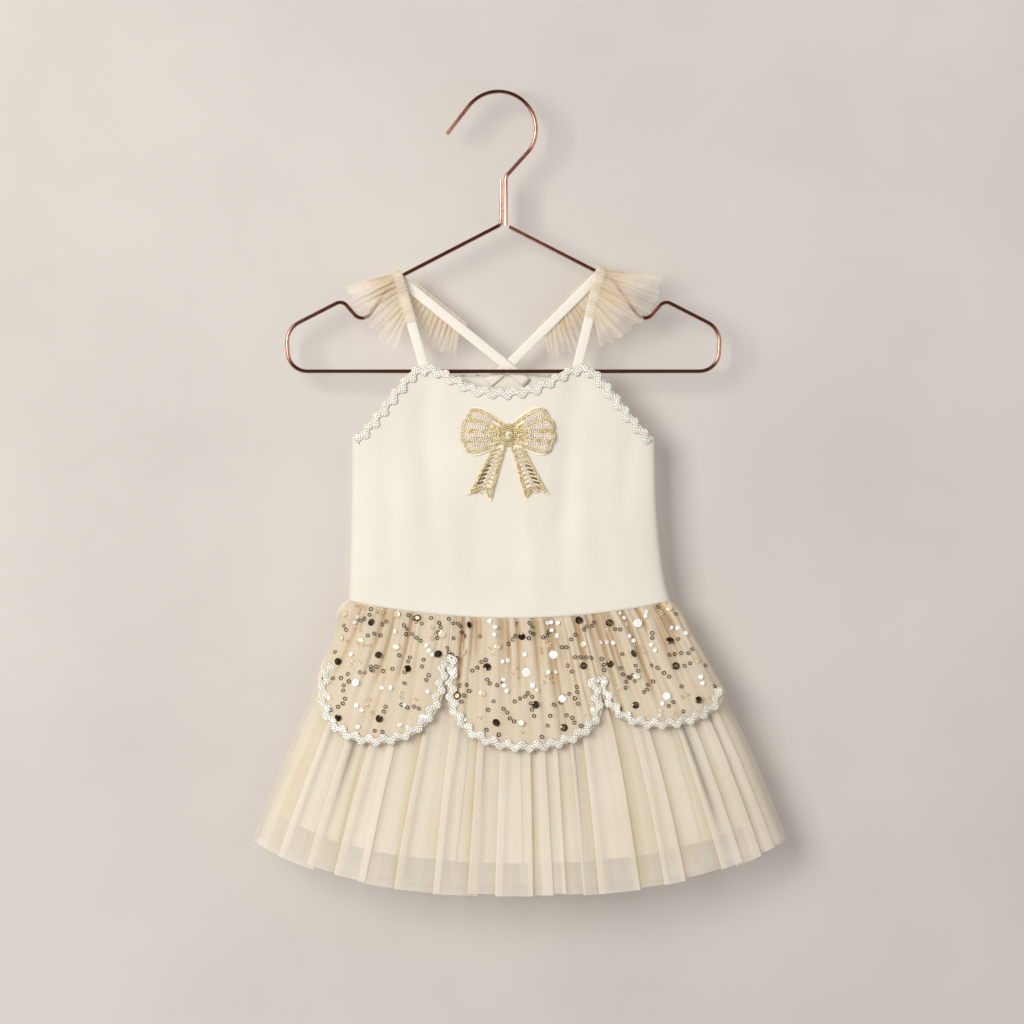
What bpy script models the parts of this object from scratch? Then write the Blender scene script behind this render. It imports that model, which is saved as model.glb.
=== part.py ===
# Toddler's tutu dress on a copper wire hanger, hung by the inside of its hook.
# The front of the dress faces -Y. Sizes below are in millimetres.
import math
from collections import namedtuple

import bmesh
import bpy
from mathutils import Matrix, Vector

MM = 0.001
FRONT, BACK = -1, 1
WALL = 1.0
SEAM_GAP = 0.3
# From the dress's middle plane to the side seams, which leaves the gap between the panels' edges
SEAM_REACH = 0.35

WIRE = 3.0
HOOK_INSIDE = 49.0
HANGER_CENTRE = 3.4
NECK_BEND_DROP = 57.5
SHOULDER_DROP = 90.7
BAR_DROP = 192.4
SHOULDER_SLOPE = math.radians(27.5)
STRAP_WIDTH, STRAP_WALL = 7.0, 1.2
RUFFLE_WAVES = 11

# Rings of the innermost cloth: how far down from the hook, middle, half width, and depth of each side
Ring = namedtuple("Ring", "drop middle half_width front back")
RINGS = (
    Ring(180, 3.6, 101.4, 1.9, 2.4),
    Ring(237, 3.6, 101.4, 3.2, 2.8),
    Ring(290, 4.0, 102.4, 5.6, 3.6),
    Ring(330, 5.6, 105.0, 7.2, 4.4),
    Ring(351, 7.6, 108.0, 8.4, 5.2),
    Ring(368, 10.4, 115.0, 10.0, 6.0),
    Ring(406, 12.6, 131.5, 15.0, 8.0),
    Ring(440, 14.6, 147.5, 19.5, 9.5),
    Ring(480, 15.0, 164.5, 23.5, 10.5),
    Ring(515, 15.0, 178.0, 26.5, 11.5),
    Ring(556, 15.0, 193.0, 29.0, 12.5),
)
OVAL = 2.4

# Upper edges of the bodice, from its middle to a side: share of the half width, and drop
Edge = namedtuple("Edge", "share drop")
FRONT_EDGE = (
    Edge(0, 205.3), Edge(0.2, 202.5), Edge(0.34, 196.0), Edge(0.46, 189.8), Edge(0.54, 188.4),
    Edge(0.62, 191.8), Edge(0.74, 205.5), Edge(0.87, 222.5), Edge(1, 238.0),
)
BACK_EDGE = (
    Edge(0, 195.0), Edge(0.3, 195.6), Edge(0.5, 197.5), Edge(0.65, 205.0), Edge(0.82, 222.0),
    Edge(1, 238.0),
)
WAIST_MIDDLE, WAIST_RISE = 362.3, 11.3
BODICE_OUT = 3.2

# How far each layer stands out from the innermost cloth, by its distance below the waist seam
Layer = namedtuple("Layer", "below short long peplum pleat")
LAYERS = (
    Layer(0, 0.0, 1.6, 3.2, 0.0),
    Layer(3, 0.0, 1.6, 3.2, 0.0),
    Layer(12, 0.0, 2.1, 4.3, 0.25),
    Layer(30, 0.0, 3.5, 6.8, 0.9),
    Layer(60, 0.0, 5.2, 9.6, 1.7),
    Layer(100, 0.0, 5.8, 11.0, 2.0),
    Layer(200, 0.0, 5.8, 11.0, 2.2),
)

# Pleats of one side, left to right: share of the half width, and the way each fold faces
Pleat = namedtuple("Pleat", "share faces")
LONG_PLEATS = (
    Pleat(-0.93, -1), Pleat(-0.83, -1), Pleat(-0.715, -1), Pleat(-0.60, 1), Pleat(-0.49, -1),
    Pleat(-0.40, 1), Pleat(-0.294, -1), Pleat(-0.213, -1), Pleat(-0.135, 1), Pleat(-0.04, -1),
    Pleat(0.03, 1), Pleat(0.11, -1), Pleat(0.17, 1), Pleat(0.26, 1), Pleat(0.392, 1),
    Pleat(0.48, 1), Pleat(0.575, -1), Pleat(0.70, 1), Pleat(0.80, 1), Pleat(0.90, 1),
    Pleat(0.955, 1),
)
SHORT_PLEATS = tuple(
    Pleat(-0.92 + 1.84 * step / 12, 1 if step % 2 else -1) for step in range(13)
)
SHORT_PLEAT = 0.8
LONG_HEM, SHORT_HEM = 551.0, 530.0
HEM_RISE, HEM_CURVE = 34.0, 2.5

# Scallops of each side of the overskirt: their ends, depth of the notch at each and full length
Scallop = namedtuple("Scallop", "start end first_notch last_notch length")
SCALLOPS = (
    Scallop(-1.0, -0.365, 34.0, 33.0, 91.0),
    Scallop(-0.365, 0.42, 33.0, 43.0, 90.0),
    Scallop(0.42, 1.0, 43.0, 54.0, 80.0),
)
SCALLOP_FULLNESS = 0.8
GATHER = 0.8

# Braid: a wavy ribbon laid inside an edge
BRAID_WIDTH, BRAID_INSET, BRAID_WAVE, BRAID_SWING = 3.2, 3.2, 11.5, 1.3

# Straps: side, foot on the front, where it crosses the wire, depth where they cross, foot on the back
Strap = namedtuple("Strap", "side front_x front_drop wire_x cross_depth back_x back_drop")
STRAPS = {
    "left": Strap(-1, -51.6, 188.7, -69.5, 2.4, 19.8, 200.5),
    "right": Strap(1, 55.1, 187.3, 70.5, 4.2, -7.3, 200.5),
}
STRAP_CROSSING_X, STRAP_CROSSING_DROP = 6.2, 188.7

BOW_X, BOW_DROP = 6.6, 236.7
# Lobes of one loop of the bow, from the knot: angle, length and width
Lobe = namedtuple("Lobe", "angle length width")
BOW_LOBES = (Lobe(33, 32.0, 9.0), Lobe(15, 34.0, 9.0), Lobe(-2, 34.0, 9.0), Lobe(-19, 34.0, 9.5))
LOBE_HEIGHT, KNOT_HEIGHT, KNOT_WIDTH, TAIL_WALL = 4.6, 8.6, 14.0, 1.6
LOBE_TAPER = 0.9


def clear_scene():
    for obj in list(bpy.data.objects):
        bpy.data.objects.remove(obj)


def read(table, at):
    """Values of a table's other columns at one value of its first, on a smooth curve."""
    keys = [row[0] for row in table]
    at = min(max(at, keys[0]), keys[-1])
    index = max(k for k in range(len(keys) - 1) if keys[k] <= at)
    span = keys[index + 1] - keys[index]
    t = (at - keys[index]) / span

    def slope(k, column):
        low, high = max(k - 1, 0), min(k + 1, len(keys) - 1)
        return (table[high][column] - table[low][column]) / (keys[high] - keys[low]) * span

    values = []
    for column in range(1, len(table[0])):
        start, end = table[index][column], table[index + 1][column]
        rise = slope(index, column) * (t**3 - 2 * t**2 + t) + slope(index + 1, column) * (t**3 - t**2)
        values.append(start * (2 * t**3 - 3 * t**2 + 1) + end * (3 * t**2 - 2 * t**3) + rise)
    return values


def skin(side, share, drop, out):
    """Point of the dress on a flattened oval ring, moved out of it along the ring's normal."""
    middle, half_width, front, back = read(RINGS, drop)
    depth = front if side == FRONT else back
    across = min(abs(share), 1.0)
    deep = (1 - across**OVAL) ** (1 / OVAL)
    slope_x = across ** (OVAL - 1) / half_width
    slope_y = deep ** (OVAL - 1) / depth
    steep = math.hypot(slope_x, slope_y)
    x = half_width * across + out * slope_x / steep
    y = SEAM_REACH + depth * deep + out * slope_y / steep
    return Vector((middle + math.copysign(x, share), side * y, -drop))


def waist(share):
    return WAIST_MIDDLE - WAIST_RISE * share**2


def upper_edge(side, share):
    return read(FRONT_EDGE if side == FRONT else BACK_EDGE, abs(share))[0]


def layer(below):
    return Layer(below, *read(LAYERS, below))


def spread(count):
    """Shares from -1 to 1, closer together towards the side seams."""
    return [math.sin(math.pi / 2 * (2 * step / count - 1)) for step in range(count + 1)]


def make_material(name, colour, roughness, metallic=0.0):
    material = bpy.data.materials.new(name)
    material.use_nodes = True
    shader = material.node_tree.nodes["Principled BSDF"]
    shader.inputs["Base Color"].default_value = (*colour, 1)
    shader.inputs["Roughness"].default_value = roughness
    shader.inputs["Metallic"].default_value = metallic
    return material


def add_object(name, mesh, material):
    obj = bpy.data.objects.new(name, mesh)
    mesh.materials.append(material)
    parts.objects.link(obj)
    return obj


def add_cloth(name, columns, rows, point, material, wall=WALL):
    """A grid whose point for each column and row is moved into place, with a wall on both sides of it."""
    across, down = len(columns) - 1, len(rows) - 1
    bm = bmesh.new()
    bmesh.ops.create_grid(bm, x_segments=across, y_segments=down, size=0.5)
    for vertex in bm.verts:
        column = columns[round((vertex.co.x + 0.5) * across)]
        row = rows[round((vertex.co.y + 0.5) * down)]
        vertex.co = Vector(point(column, row)) * MM
    mesh = bpy.data.meshes.new(name)
    bm.to_mesh(mesh)
    bm.free()
    obj = add_object(name, mesh, material)
    solidify = obj.modifiers.new("Wall", "SOLIDIFY")
    solidify.thickness = wall * MM
    solidify.offset = 0
    solidify.use_even_offset = True
    return obj


def add_wire(name, points, material, width=WIRE):
    curve = bpy.data.curves.new(name, "CURVE")
    curve.dimensions = "3D"
    curve.bevel_depth = width / 2 * MM
    curve.bevel_resolution = 2
    curve.use_fill_caps = True
    spline = curve.splines.new("POLY")
    spline.points.add(len(points) - 1)
    for target, place in zip(spline.points, points):
        target.co = (place[0] * MM, place[1] * MM, place[2] * MM, 1)
    curve.materials.append(material)
    obj = bpy.data.objects.new(name, curve)
    parts.objects.link(obj)
    return obj


def rounded(corners, steps=5):
    """A path in the hanger's plane with each corner (x, z, radius) made an arc."""
    path = [Vector(corners[0][:2])]
    for before, corner, after in zip(corners, corners[1:], corners[2:]):
        here = Vector(corner[:2])
        back = (Vector(before[:2]) - here).normalized()
        on = (Vector(after[:2]) - here).normalized()
        half_turn = (math.pi - back.angle(on)) / 2
        reach = corner[2] * math.tan(half_turn)
        centre = here + (back + on).normalized() * corner[2] / math.cos(half_turn)
        start, end = here + back * reach - centre, here + on * reach - centre
        turn = start.angle_signed(end)
        for step in range(steps + 1):
            path.append(centre + Matrix.Rotation(-turn * step / steps, 2) @ start)
    path.append(Vector(corners[-1][:2]))
    return [(place.x, 0.0, place.y) for place in path]


def hanger_side(way):
    """Corners of one half of the hanger, from its neck to the middle of the bar."""
    slope_end = 76.0
    half = (
        (2.2, -SHOULDER_DROP, 3.0),
        (slope_end, -SHOULDER_DROP - slope_end * math.tan(SHOULDER_SLOPE) + 1.2, 9.0),
        (97.2, -160.0, 7.0),
        (111.6, -143.2, 6.0),
        (150.4, -163.0, 15.0),
        (148.6, -BAR_DROP, 13.5),
    )
    return [(HANGER_CENTRE + way * x, z, radius) for x, z, radius in half]


def make_hanger(copper):
    neck = WIRE / 2 + SEAM_GAP / 2
    left, right = hanger_side(-1), hanger_side(1)
    start = (HANGER_CENTRE - neck, -NECK_BEND_DROP - 2.0, 0)
    left[0] = (HANGER_CENTRE - neck, -SHOULDER_DROP, 4.0)
    end = (HANGER_CENTRE + neck + WIRE / 2 + 0.9, -SHOULDER_DROP - 1.6, 0)
    add_wire("hanger_frame", rounded([start, *left, *reversed(right[1:]), end]), copper)

    radius = (HOOK_INSIDE + WIRE) / 2
    middle = Vector((0, -HOOK_INSIDE / 2))
    first, last = math.radians(142), math.radians(-36)
    tip_length, arc_steps = 25.0, 16
    path = []
    for step in range(arc_steps + 1):
        angle = first + (last - first) * step / arc_steps
        path.append(middle + radius * Vector((math.cos(angle), math.sin(angle))))
    tip = path[0] + tip_length * Vector((-math.sin(first), math.cos(first)))
    hook = [(place.x, 0.0, place.y) for place in [tip, *path[:-1]]]
    foot_x = HANGER_CENTRE + neck
    bend = rounded([
        (path[-1].x, path[-1].y, 0), (foot_x, -NECK_BEND_DROP, 6.0), (foot_x, -SHOULDER_DROP - 0.6, 0),
    ])
    add_wire("hanger_hook", hook + bend, copper)


def wire_drop(x):
    """Drop of the middle of the hanger's sloping wire."""
    return SHOULDER_DROP + (abs(x - HANGER_CENTRE) - 2.2) * math.tan(SHOULDER_SLOPE)


def strap_stations(strap):
    """Stations of a strap: middle, the slope of its width, and the way out of it."""
    around = (WIRE + STRAP_WALL) / 2 + SEAM_GAP * 1.5
    top = Vector((strap.wire_x, 0, -wire_drop(strap.wire_x)))
    slope = -strap.side * SHOULDER_SLOPE
    up = Vector((-math.sin(slope), 0, math.cos(slope)))
    foot = Vector((strap.front_x, -3.4, -strap.front_drop))
    front_top = top + Vector((0, -around, 0))
    run = (foot - front_top).normalized()
    front_slope = math.atan2(run.x, -run.z)
    below = foot + run * 6.0
    stations = [(below, front_slope), (foot, front_slope)]
    for share in (0.35, 0.7):
        stations.append((foot.lerp(front_top, share), front_slope))
    crossing = Vector((STRAP_CROSSING_X, strap.cross_depth, -STRAP_CROSSING_DROP))
    back_top = top + Vector((0, around, 0))
    fall = (crossing - back_top).normalized()
    back_slope = math.atan2(fall.x, -fall.z)
    for turn in (0, 36, 72, 108, 144, 180):
        angle = math.radians(turn)
        place = top + around * (math.sin(angle) * up + Vector((0, -math.cos(angle), 0)))
        if turn <= 90:
            tilt = front_slope + (slope - front_slope) * turn / 90
        else:
            tilt = slope + (back_slope - slope) * (turn - 90) / 90
        stations.append((place, tilt))
    for share in (0.3, 0.6, 0.85):
        stations.append((back_top.lerp(crossing, share), back_slope))
    stations.append((crossing, back_slope))
    seat = Vector((strap.back_x, 4.2, -strap.back_drop))
    stations.append((crossing.lerp(seat, 0.55), back_slope))
    stations.append((seat, back_slope))
    placed = []
    for index, (place, tilt) in enumerate(stations):
        width = Vector((math.cos(tilt), 0, math.sin(tilt)))
        before = stations[max(index - 1, 0)][0]
        after = stations[min(index + 1, len(stations) - 1)][0]
        out = width.cross(after - before).normalized()
        placed.append((place, width, out))
    return placed


def make_strap(name, strap, elastic):
    stations = strap_stations(strap)

    def point(station, across):
        place, width, _ = stations[station]
        return place + width * across * STRAP_WIDTH / 2

    add_cloth(name, range(len(stations)), (-1, 1), point, elastic, STRAP_WALL)


# How a ruffle's frill stands from the strap: share of its length, its heading, width and lean
Frill = namedtuple("Frill", "along angle width lean")
FRILLS = (
    Frill(0.0, 236, 19, 2.0), Frill(0.18, 214, 30, 2.6), Frill(0.34, 192, 34, 2.6),
    Frill(0.42, 187, 34, 0.6), Frill(0.5, 200, 34, 2.0), Frill(0.7, 232, 30, 2.4),
    Frill(1.0, 266, 14, 2.0),
)
RUFFLE_FRONT, RUFFLE_BACK = 32.0, 58.0
RUFFLE_HEADER = 7.6


def header_at(stations, along):
    """Place, width and way out of the strap's outer face, by length along it from the ruffle's start."""
    lengths = [0.0]
    for before, after in zip(stations, stations[1:]):
        lengths.append(lengths[-1] + (after[0] - before[0]).length)
    target = lengths[4] - RUFFLE_FRONT + along
    index = max(k for k in range(len(lengths) - 1) if lengths[k] <= target)
    t = (target - lengths[index]) / (lengths[index + 1] - lengths[index])
    values = [stations[index][k].lerp(stations[index + 1][k], t) for k in range(3)]
    return values[0], values[1].normalized(), values[2].normalized()


def make_ruffle(name, strap, tulle):
    stations = strap_stations(strap)
    over_wire = math.pi * ((WIRE + STRAP_WALL) / 2 + SEAM_GAP)
    length = RUFFLE_FRONT + over_wire + RUFFLE_BACK
    clear = (STRAP_WALL + WALL) / 2 + SEAM_GAP * 2.5
    columns = [step / (RUFFLE_WAVES * 5) for step in range(RUFFLE_WAVES * 5 + 1)]

    def point(share, row):
        place, width, out = header_at(stations, share * length)
        outward = width * strap.side
        angle, width_here, lean = read(FRILLS, share)
        heading = Vector((math.cos(math.radians(angle)), 0, math.sin(math.radians(angle))))
        heading.x *= -strap.side
        edge = place + out * clear + outward * RUFFLE_HEADER / 2
        if row < 0:
            return edge - outward * RUFFLE_HEADER * 0.9
        wave = math.cos(2 * math.pi * RUFFLE_WAVES * share)
        swing = 1.5 * wave * row
        return edge + heading * width_here * row + out * (lean * min(row * 2, 1) + swing + 0.6 * row)

    add_cloth(name, columns, (-1, 0, 0.45, 1), point, tulle)


def make_bodice(name, side, jersey):
    def point(share, row):
        top = upper_edge(side, share)
        bottom = waist(share)
        return skin(side, share, top + (bottom - top) * row, BODICE_OUT)

    add_cloth(name, spread(30), (0, 0.12, 0.3, 0.5, 0.75, 1), point, jersey)


def pleat_columns(pleats):
    """Shares of the half width with the height of the fold there, from -1 low to 1 high."""
    fold = 0.0035
    columns = [(-1.0, 0.0), (-0.985, 0.0)]
    for pleat in pleats:
        columns.append((pleat.share - fold, pleat.faces))
        columns.append((pleat.share + fold, -pleat.faces))
    columns += [(0.985, 0.0), (1.0, 0.0)]
    full = columns[:1]
    for before, after in zip(columns, columns[1:]):
        if after[0] - before[0] > 0.07:
            full.append(((before[0] + after[0]) / 2, (before[1] + after[1]) * 0.35))
        full.append(after)
    return full


def make_skirt(name, side, pleats, hem, which, tulle, rows):
    def point(column, row):
        share, height = column
        top = waist(share) + SEAM_GAP
        bottom = hem - HEM_RISE * abs(share) ** HEM_CURVE
        drop = top + (bottom - top) * row
        depths = layer(drop - waist(share))
        stand = getattr(depths, which)
        fold = depths.pleat if which == "long" else depths.pleat * SHORT_PLEAT
        return skin(side, share, drop, stand + fold * height)

    columns = pleat_columns(pleats)
    if side == BACK:
        columns = [(-share, height) for share, height in reversed(columns)]
    add_cloth(name, columns, rows, point, tulle)


def scallop_edge(scallop, turn, inset=0.0):
    """How far below the waist a scallop's edge hangs, at a turn from 0 at its start to pi at its end."""
    past = (1 - math.cos(turn)) / 2
    notch = scallop.first_notch + (scallop.last_notch - scallop.first_notch) * past
    return notch + (scallop.length - notch - inset) * math.sin(turn) ** SCALLOP_FULLNESS


def peplum_point(side, share, below, gather):
    drop = waist(share) + below
    return skin(side, share, drop, layer(below).peplum + gather)


def make_peplum(name, side, tulle):
    steps = 18
    columns = []
    for scallop in SCALLOPS:
        for step in range(steps + 1):
            if step == 0 and columns:
                continue
            turn = min(math.pi * step / steps, 3.14159)
            share = scallop.start + (scallop.end - scallop.start) * (1 - math.cos(turn)) / 2
            reach = scallop_edge(scallop, turn)
            height = GATHER * math.sin(turn) * (1 if step % 2 else -1)
            columns.append((share, reach, height))

    def point(column, row):
        share, reach, height = column
        below = SEAM_GAP + WALL * 0.1 + (reach - SEAM_GAP) * row
        return peplum_point(side, share, below, height * (0.35 + 0.65 * math.sin(math.pi * row)))

    add_cloth(name, columns, (0, 0.15, 0.4, 0.7, 1), point, tulle)


def make_braid(name, side, path, out, surface, silver):
    """A wavy ribbon along a path of (share, measure) on a surface, with four stations to a wave."""
    places = [surface(side, *place, out) for place in path]
    lengths = [0.0]
    for before, after in zip(places, places[1:]):
        lengths.append(lengths[-1] + (after - before).length)
    waves = round(lengths[-1] / BRAID_WAVE)
    stations = [lengths[-1] * (step + 0.5) / (waves * 4) for step in range(waves * 4)]

    def locate(along):
        along = min(max(along, 0.0), lengths[-1] * 0.9999)
        index = max(k for k in range(len(lengths) - 1) if lengths[k] <= along)
        t = (along - lengths[index]) / (lengths[index + 1] - lengths[index])
        return tuple(a + (b - a) * t for a, b in zip(path[index], path[index + 1]))

    def point(station, across):
        along = stations[station]
        here = surface(side, *locate(along), out)
        ahead = surface(side, *locate(along + 1.5), out) - surface(side, *locate(along - 1.5), out)
        up = Vector((0, side, 0)).cross(ahead).normalized()
        swing = BRAID_SWING * (1 if station % 4 < 2 else -1)
        moved = here + up * (swing + across * BRAID_WIDTH / 2)
        return moved

    add_cloth(name, range(len(stations)), (-1, 1), point, silver)


def bodice_surface(side, share, drop, out):
    return skin(side, share, drop, BODICE_OUT + out)


def peplum_surface(side, share, below, out):
    return peplum_point(side, share, below, out)


def neck_path(side):
    return [(share * 0.985, upper_edge(side, share) + BRAID_INSET) for share in spread(48)]


def scallop_path():
    """Inside the scalloped hem: half an ellipse in each scallop, and a small arc over each notch."""
    half_round = math.pi * 140 / 2
    path = []
    for scallop in SCALLOPS:
        middle = (scallop.start + scallop.end) / 2
        half = (scallop.end - scallop.start) / 2
        inset = BRAID_INSET / half_round * 1.6
        for step in range(1, 30):
            turn = math.pi * step / 30
            share = middle - (half - inset) * math.cos(turn)
            path.append((share, scallop_edge(scallop, turn, BRAID_INSET) + 1.0))
        if scallop.end < 0.9:
            for turn in (150, 120, 90, 60, 30):
                angle = math.radians(turn)
                share = scallop.end + inset * math.cos(angle)
                path.append((share, scallop.last_notch + 1.0 - BRAID_INSET * math.sin(angle)))
    return path


def join(obj, others):
    """Union of closed shapes, applied and left in the first."""
    for other in others:
        modifier = obj.modifiers.new("Join", "BOOLEAN")
        modifier.operation = "UNION"
        modifier.object = other
        bpy.context.view_layer.update()
        graph = bpy.context.evaluated_depsgraph_get()
        mesh = bpy.data.meshes.new_from_object(obj.evaluated_get(graph))
        obj.modifiers.clear()
        obj.data = mesh
        bpy.data.objects.remove(other)


def add_dome(size, centre, turn, taper=0.0):
    """Upper half of a squashed ball, wider at one end by its taper, lying on the XY plane."""
    bm = bmesh.new()
    bmesh.ops.create_uvsphere(bm, u_segments=10, v_segments=6, radius=0.5)
    bmesh.ops.scale(bm, vec=size, verts=bm.verts)
    cut = bmesh.ops.bisect_plane(
        bm, geom=bm.verts[:] + bm.edges[:] + bm.faces[:], plane_co=(0, 0, 0),
        plane_no=(0, 0, -1), clear_outer=True,
    )
    for vertex in bm.verts:
        vertex.co.y *= 1 + taper * vertex.co.x / size[0]
    edges = [item for item in cut["geom_cut"] if isinstance(item, bmesh.types.BMEdge)]
    bmesh.ops.edgeloop_fill(bm, edges=edges)
    bmesh.ops.rotate(bm, matrix=Matrix.Rotation(turn, 3, "Z"), verts=bm.verts)
    bmesh.ops.translate(bm, vec=centre, verts=bm.verts)
    bmesh.ops.recalc_face_normals(bm, faces=bm.faces)
    mesh = bpy.data.meshes.new("dome")
    bm.to_mesh(mesh)
    bm.free()
    obj = bpy.data.objects.new("dome", mesh)
    parts.objects.link(obj)
    return obj


def add_tail(way):
    """One tail of the bow: a strip that widens to a notched end."""
    outline = ((0.5, -3.0), (8.0, -4.0), (27.5, -41.0), (19.0, -38.0), (12.0, -45.5))
    bm = bmesh.new()
    face = bm.faces.new([bm.verts.new((way * x, y, 0)) for x, y in outline])
    raised = bmesh.ops.extrude_face_region(bm, geom=[face])
    upper = [item for item in raised["geom"] if isinstance(item, bmesh.types.BMVert)]
    bmesh.ops.translate(bm, vec=(0, 0, TAIL_WALL), verts=upper)
    bmesh.ops.recalc_face_normals(bm, faces=bm.faces)
    mesh = bpy.data.meshes.new("tail")
    bm.to_mesh(mesh)
    bm.free()
    obj = bpy.data.objects.new("tail", mesh)
    parts.objects.link(obj)
    return obj


def make_bow(beads):
    """Applique of four domed lobes a side, two tails and a knot, laid on the front panel."""
    reach = 9.0
    shapes = []
    for way in (-1, 1):
        for lobe in BOW_LOBES:
            angle = math.radians(lobe.angle if way > 0 else 180 - lobe.angle)
            middle = (lobe.length / 2 - 1.0) * Vector((math.cos(angle), math.sin(angle), 0))
            shapes.append(add_dome((lobe.length, lobe.width, LOBE_HEIGHT), middle, angle, LOBE_TAPER))
        shapes.append(add_tail(way))
    knot = add_dome((KNOT_WIDTH, KNOT_WIDTH, KNOT_HEIGHT), (0, 0, 0), 0.0)
    join(knot, shapes)
    at = skin(FRONT, 0.03, BOW_DROP, BODICE_OUT)
    above = skin(FRONT, 0.03, BOW_DROP - reach, BODICE_OUT)
    below = skin(FRONT, 0.03, BOW_DROP + reach * 4, BODICE_OUT)
    up = (above - below).normalized()
    out = Vector((0, -1, 0))
    out = (out - up * out.dot(up)).normalized()
    right = up.cross(out).normalized()
    frame = Matrix((right, up, out)).transposed().to_4x4()
    centre = Vector((BOW_X, at.y, at.z)) + out * (WALL / 2 + SEAM_GAP + 0.35)
    frame.translation = centre
    knot.data.transform(Matrix.Scale(MM, 4) @ frame)
    knot.name = "bow_applique"
    knot.data.name = "bow_applique"
    knot.data.materials.clear()
    knot.data.materials.append(beads)


def make_dress():
    copper = make_material("copper_wire", (0.48, 0.17, 0.10), 0.22, 1.0)
    jersey = make_material("cotton_jersey", (0.91, 0.86, 0.75), 0.9)
    elastic = make_material("strap_elastic", (0.94, 0.91, 0.82), 0.75)
    tulle = make_material("champagne_tulle", (0.80, 0.70, 0.50), 0.8)
    sequinned = make_material("sequinned_tulle", (0.69, 0.55, 0.38), 0.6)
    silver = make_material("silver_braid", (0.69, 0.71, 0.63), 0.45, 0.4)
    beads = make_material("gold_beads", (0.58, 0.42, 0.15), 0.35, 0.8)

    make_hanger(copper)
    for name, strap in STRAPS.items():
        make_strap(f"strap_{name}", strap, elastic)
        make_ruffle(f"ruffle_{name}", strap, tulle)
    for name, side in (("front", FRONT), ("back", BACK)):
        make_bodice(f"bodice_{name}", side, jersey)
        long_rows, short_rows = (0, 0.06, 0.2, 0.5, 1), (0, 0.068, 0.22, 0.5, 1)
        make_skirt(f"skirt_long_{name}", side, LONG_PLEATS, LONG_HEM, "long", tulle, long_rows)
        make_skirt(f"skirt_short_{name}", side, SHORT_PLEATS, SHORT_HEM, "short", tulle, short_rows)
        make_peplum(f"peplum_{name}", side, sequinned)
        clear = WALL + SEAM_GAP
        make_braid(f"trim_neck_{name}", side, neck_path(side), clear, bodice_surface, silver)
        peplum_clear = clear + GATHER * 1.6
        make_braid(f"trim_peplum_{name}", side, scallop_path(), peplum_clear, peplum_surface, silver)
    make_bow(beads)


clear_scene()
parts = bpy.data.collections.new("tutu_dress")
bpy.context.scene.collection.children.link(parts)
make_dress()
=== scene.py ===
# Toddler's tutu dress on a copper wire hanger, hung flat in front of a pale painted wall.
import bmesh
import bpy
import math
import random
from mathutils import Matrix, Vector, noise


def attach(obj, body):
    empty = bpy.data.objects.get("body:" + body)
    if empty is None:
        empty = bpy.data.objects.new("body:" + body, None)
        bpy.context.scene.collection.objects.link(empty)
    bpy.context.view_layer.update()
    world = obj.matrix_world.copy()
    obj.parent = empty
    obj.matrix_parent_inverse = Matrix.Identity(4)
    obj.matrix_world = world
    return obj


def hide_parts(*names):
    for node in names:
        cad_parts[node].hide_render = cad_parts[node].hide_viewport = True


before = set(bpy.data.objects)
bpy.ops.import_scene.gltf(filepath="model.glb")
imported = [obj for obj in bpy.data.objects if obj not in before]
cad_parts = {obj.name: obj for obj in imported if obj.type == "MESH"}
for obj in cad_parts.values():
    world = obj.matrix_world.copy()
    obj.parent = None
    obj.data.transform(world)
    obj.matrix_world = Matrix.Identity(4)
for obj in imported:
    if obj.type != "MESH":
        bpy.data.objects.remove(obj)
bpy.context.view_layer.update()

mm = 0.001
front, back = -1, 1
body = "root"

# The dress's own form, in millimetres: rings of the innermost cloth, then its edges and layers
dress = {
    # drop below the hook, middle, half width, depth of the front and of the back
    "rings": (
        (180, 3.6, 101.4, 1.9, 2.4), (237, 3.6, 101.4, 3.2, 2.8), (290, 4.0, 102.4, 5.6, 3.6),
        (330, 5.6, 105.0, 7.2, 4.4), (351, 7.6, 108.0, 8.4, 5.2), (368, 10.4, 115.0, 10.0, 6.0),
        (406, 12.6, 131.5, 15.0, 8.0), (440, 14.6, 147.5, 19.5, 9.5), (480, 15.0, 164.5, 23.5, 10.5),
        (515, 15.0, 178.0, 26.5, 11.5), (556, 15.0, 193.0, 29.0, 12.5),
    ),
    "oval": 2.4,
    "seamReach": 0.35, "seamLap": 0.5,
    # share of the half width, drop of the bodice's upper edge
    "frontEdge": (
        (0, 205.3), (0.2, 202.5), (0.34, 196.0), (0.46, 189.8), (0.54, 188.4), (0.62, 191.8),
        (0.74, 205.5), (0.87, 222.5), (1, 238.0),
    ),
    "backEdge": ((0, 195.0), (0.3, 195.6), (0.5, 197.5), (0.65, 205.0), (0.82, 222.0), (1, 238.0)),
    "waistMiddle": 362.3,
    "waistRise": 11.3,
    "bodiceOut": 3.2,
    # distance below the waist, then how far the long tulle, the overskirt and the pleats stand out
    "layers": (
        (0, 1.6, 3.2, 0.0), (3, 1.6, 3.2, 0.0), (12, 2.1, 4.3, 0.25), (30, 3.5, 6.8, 0.9),
        (60, 5.2, 9.6, 1.7), (100, 5.8, 11.0, 2.0), (200, 5.8, 11.0, 2.2),
    ),
}


def hexLinear(code):
    channels = [int(code[k:k + 2], 16) / 255 for k in (1, 3, 5)]
    return [c / 12.92 if c <= 0.04045 else ((c + 0.055) / 1.055) ** 2.4 for c in channels] + [1.0]


def addNode(tree, kind, settings=(), links=()):
    node = tree.nodes.new(kind)
    for key, value in dict(settings).items():
        if isinstance(key, int) or key in node.inputs:
            node.inputs[key].default_value = value
        else:
            setattr(node, key, value)
    for key, source in dict(links).items():
        tree.links.new(source, node.inputs[key])
    return node


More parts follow.
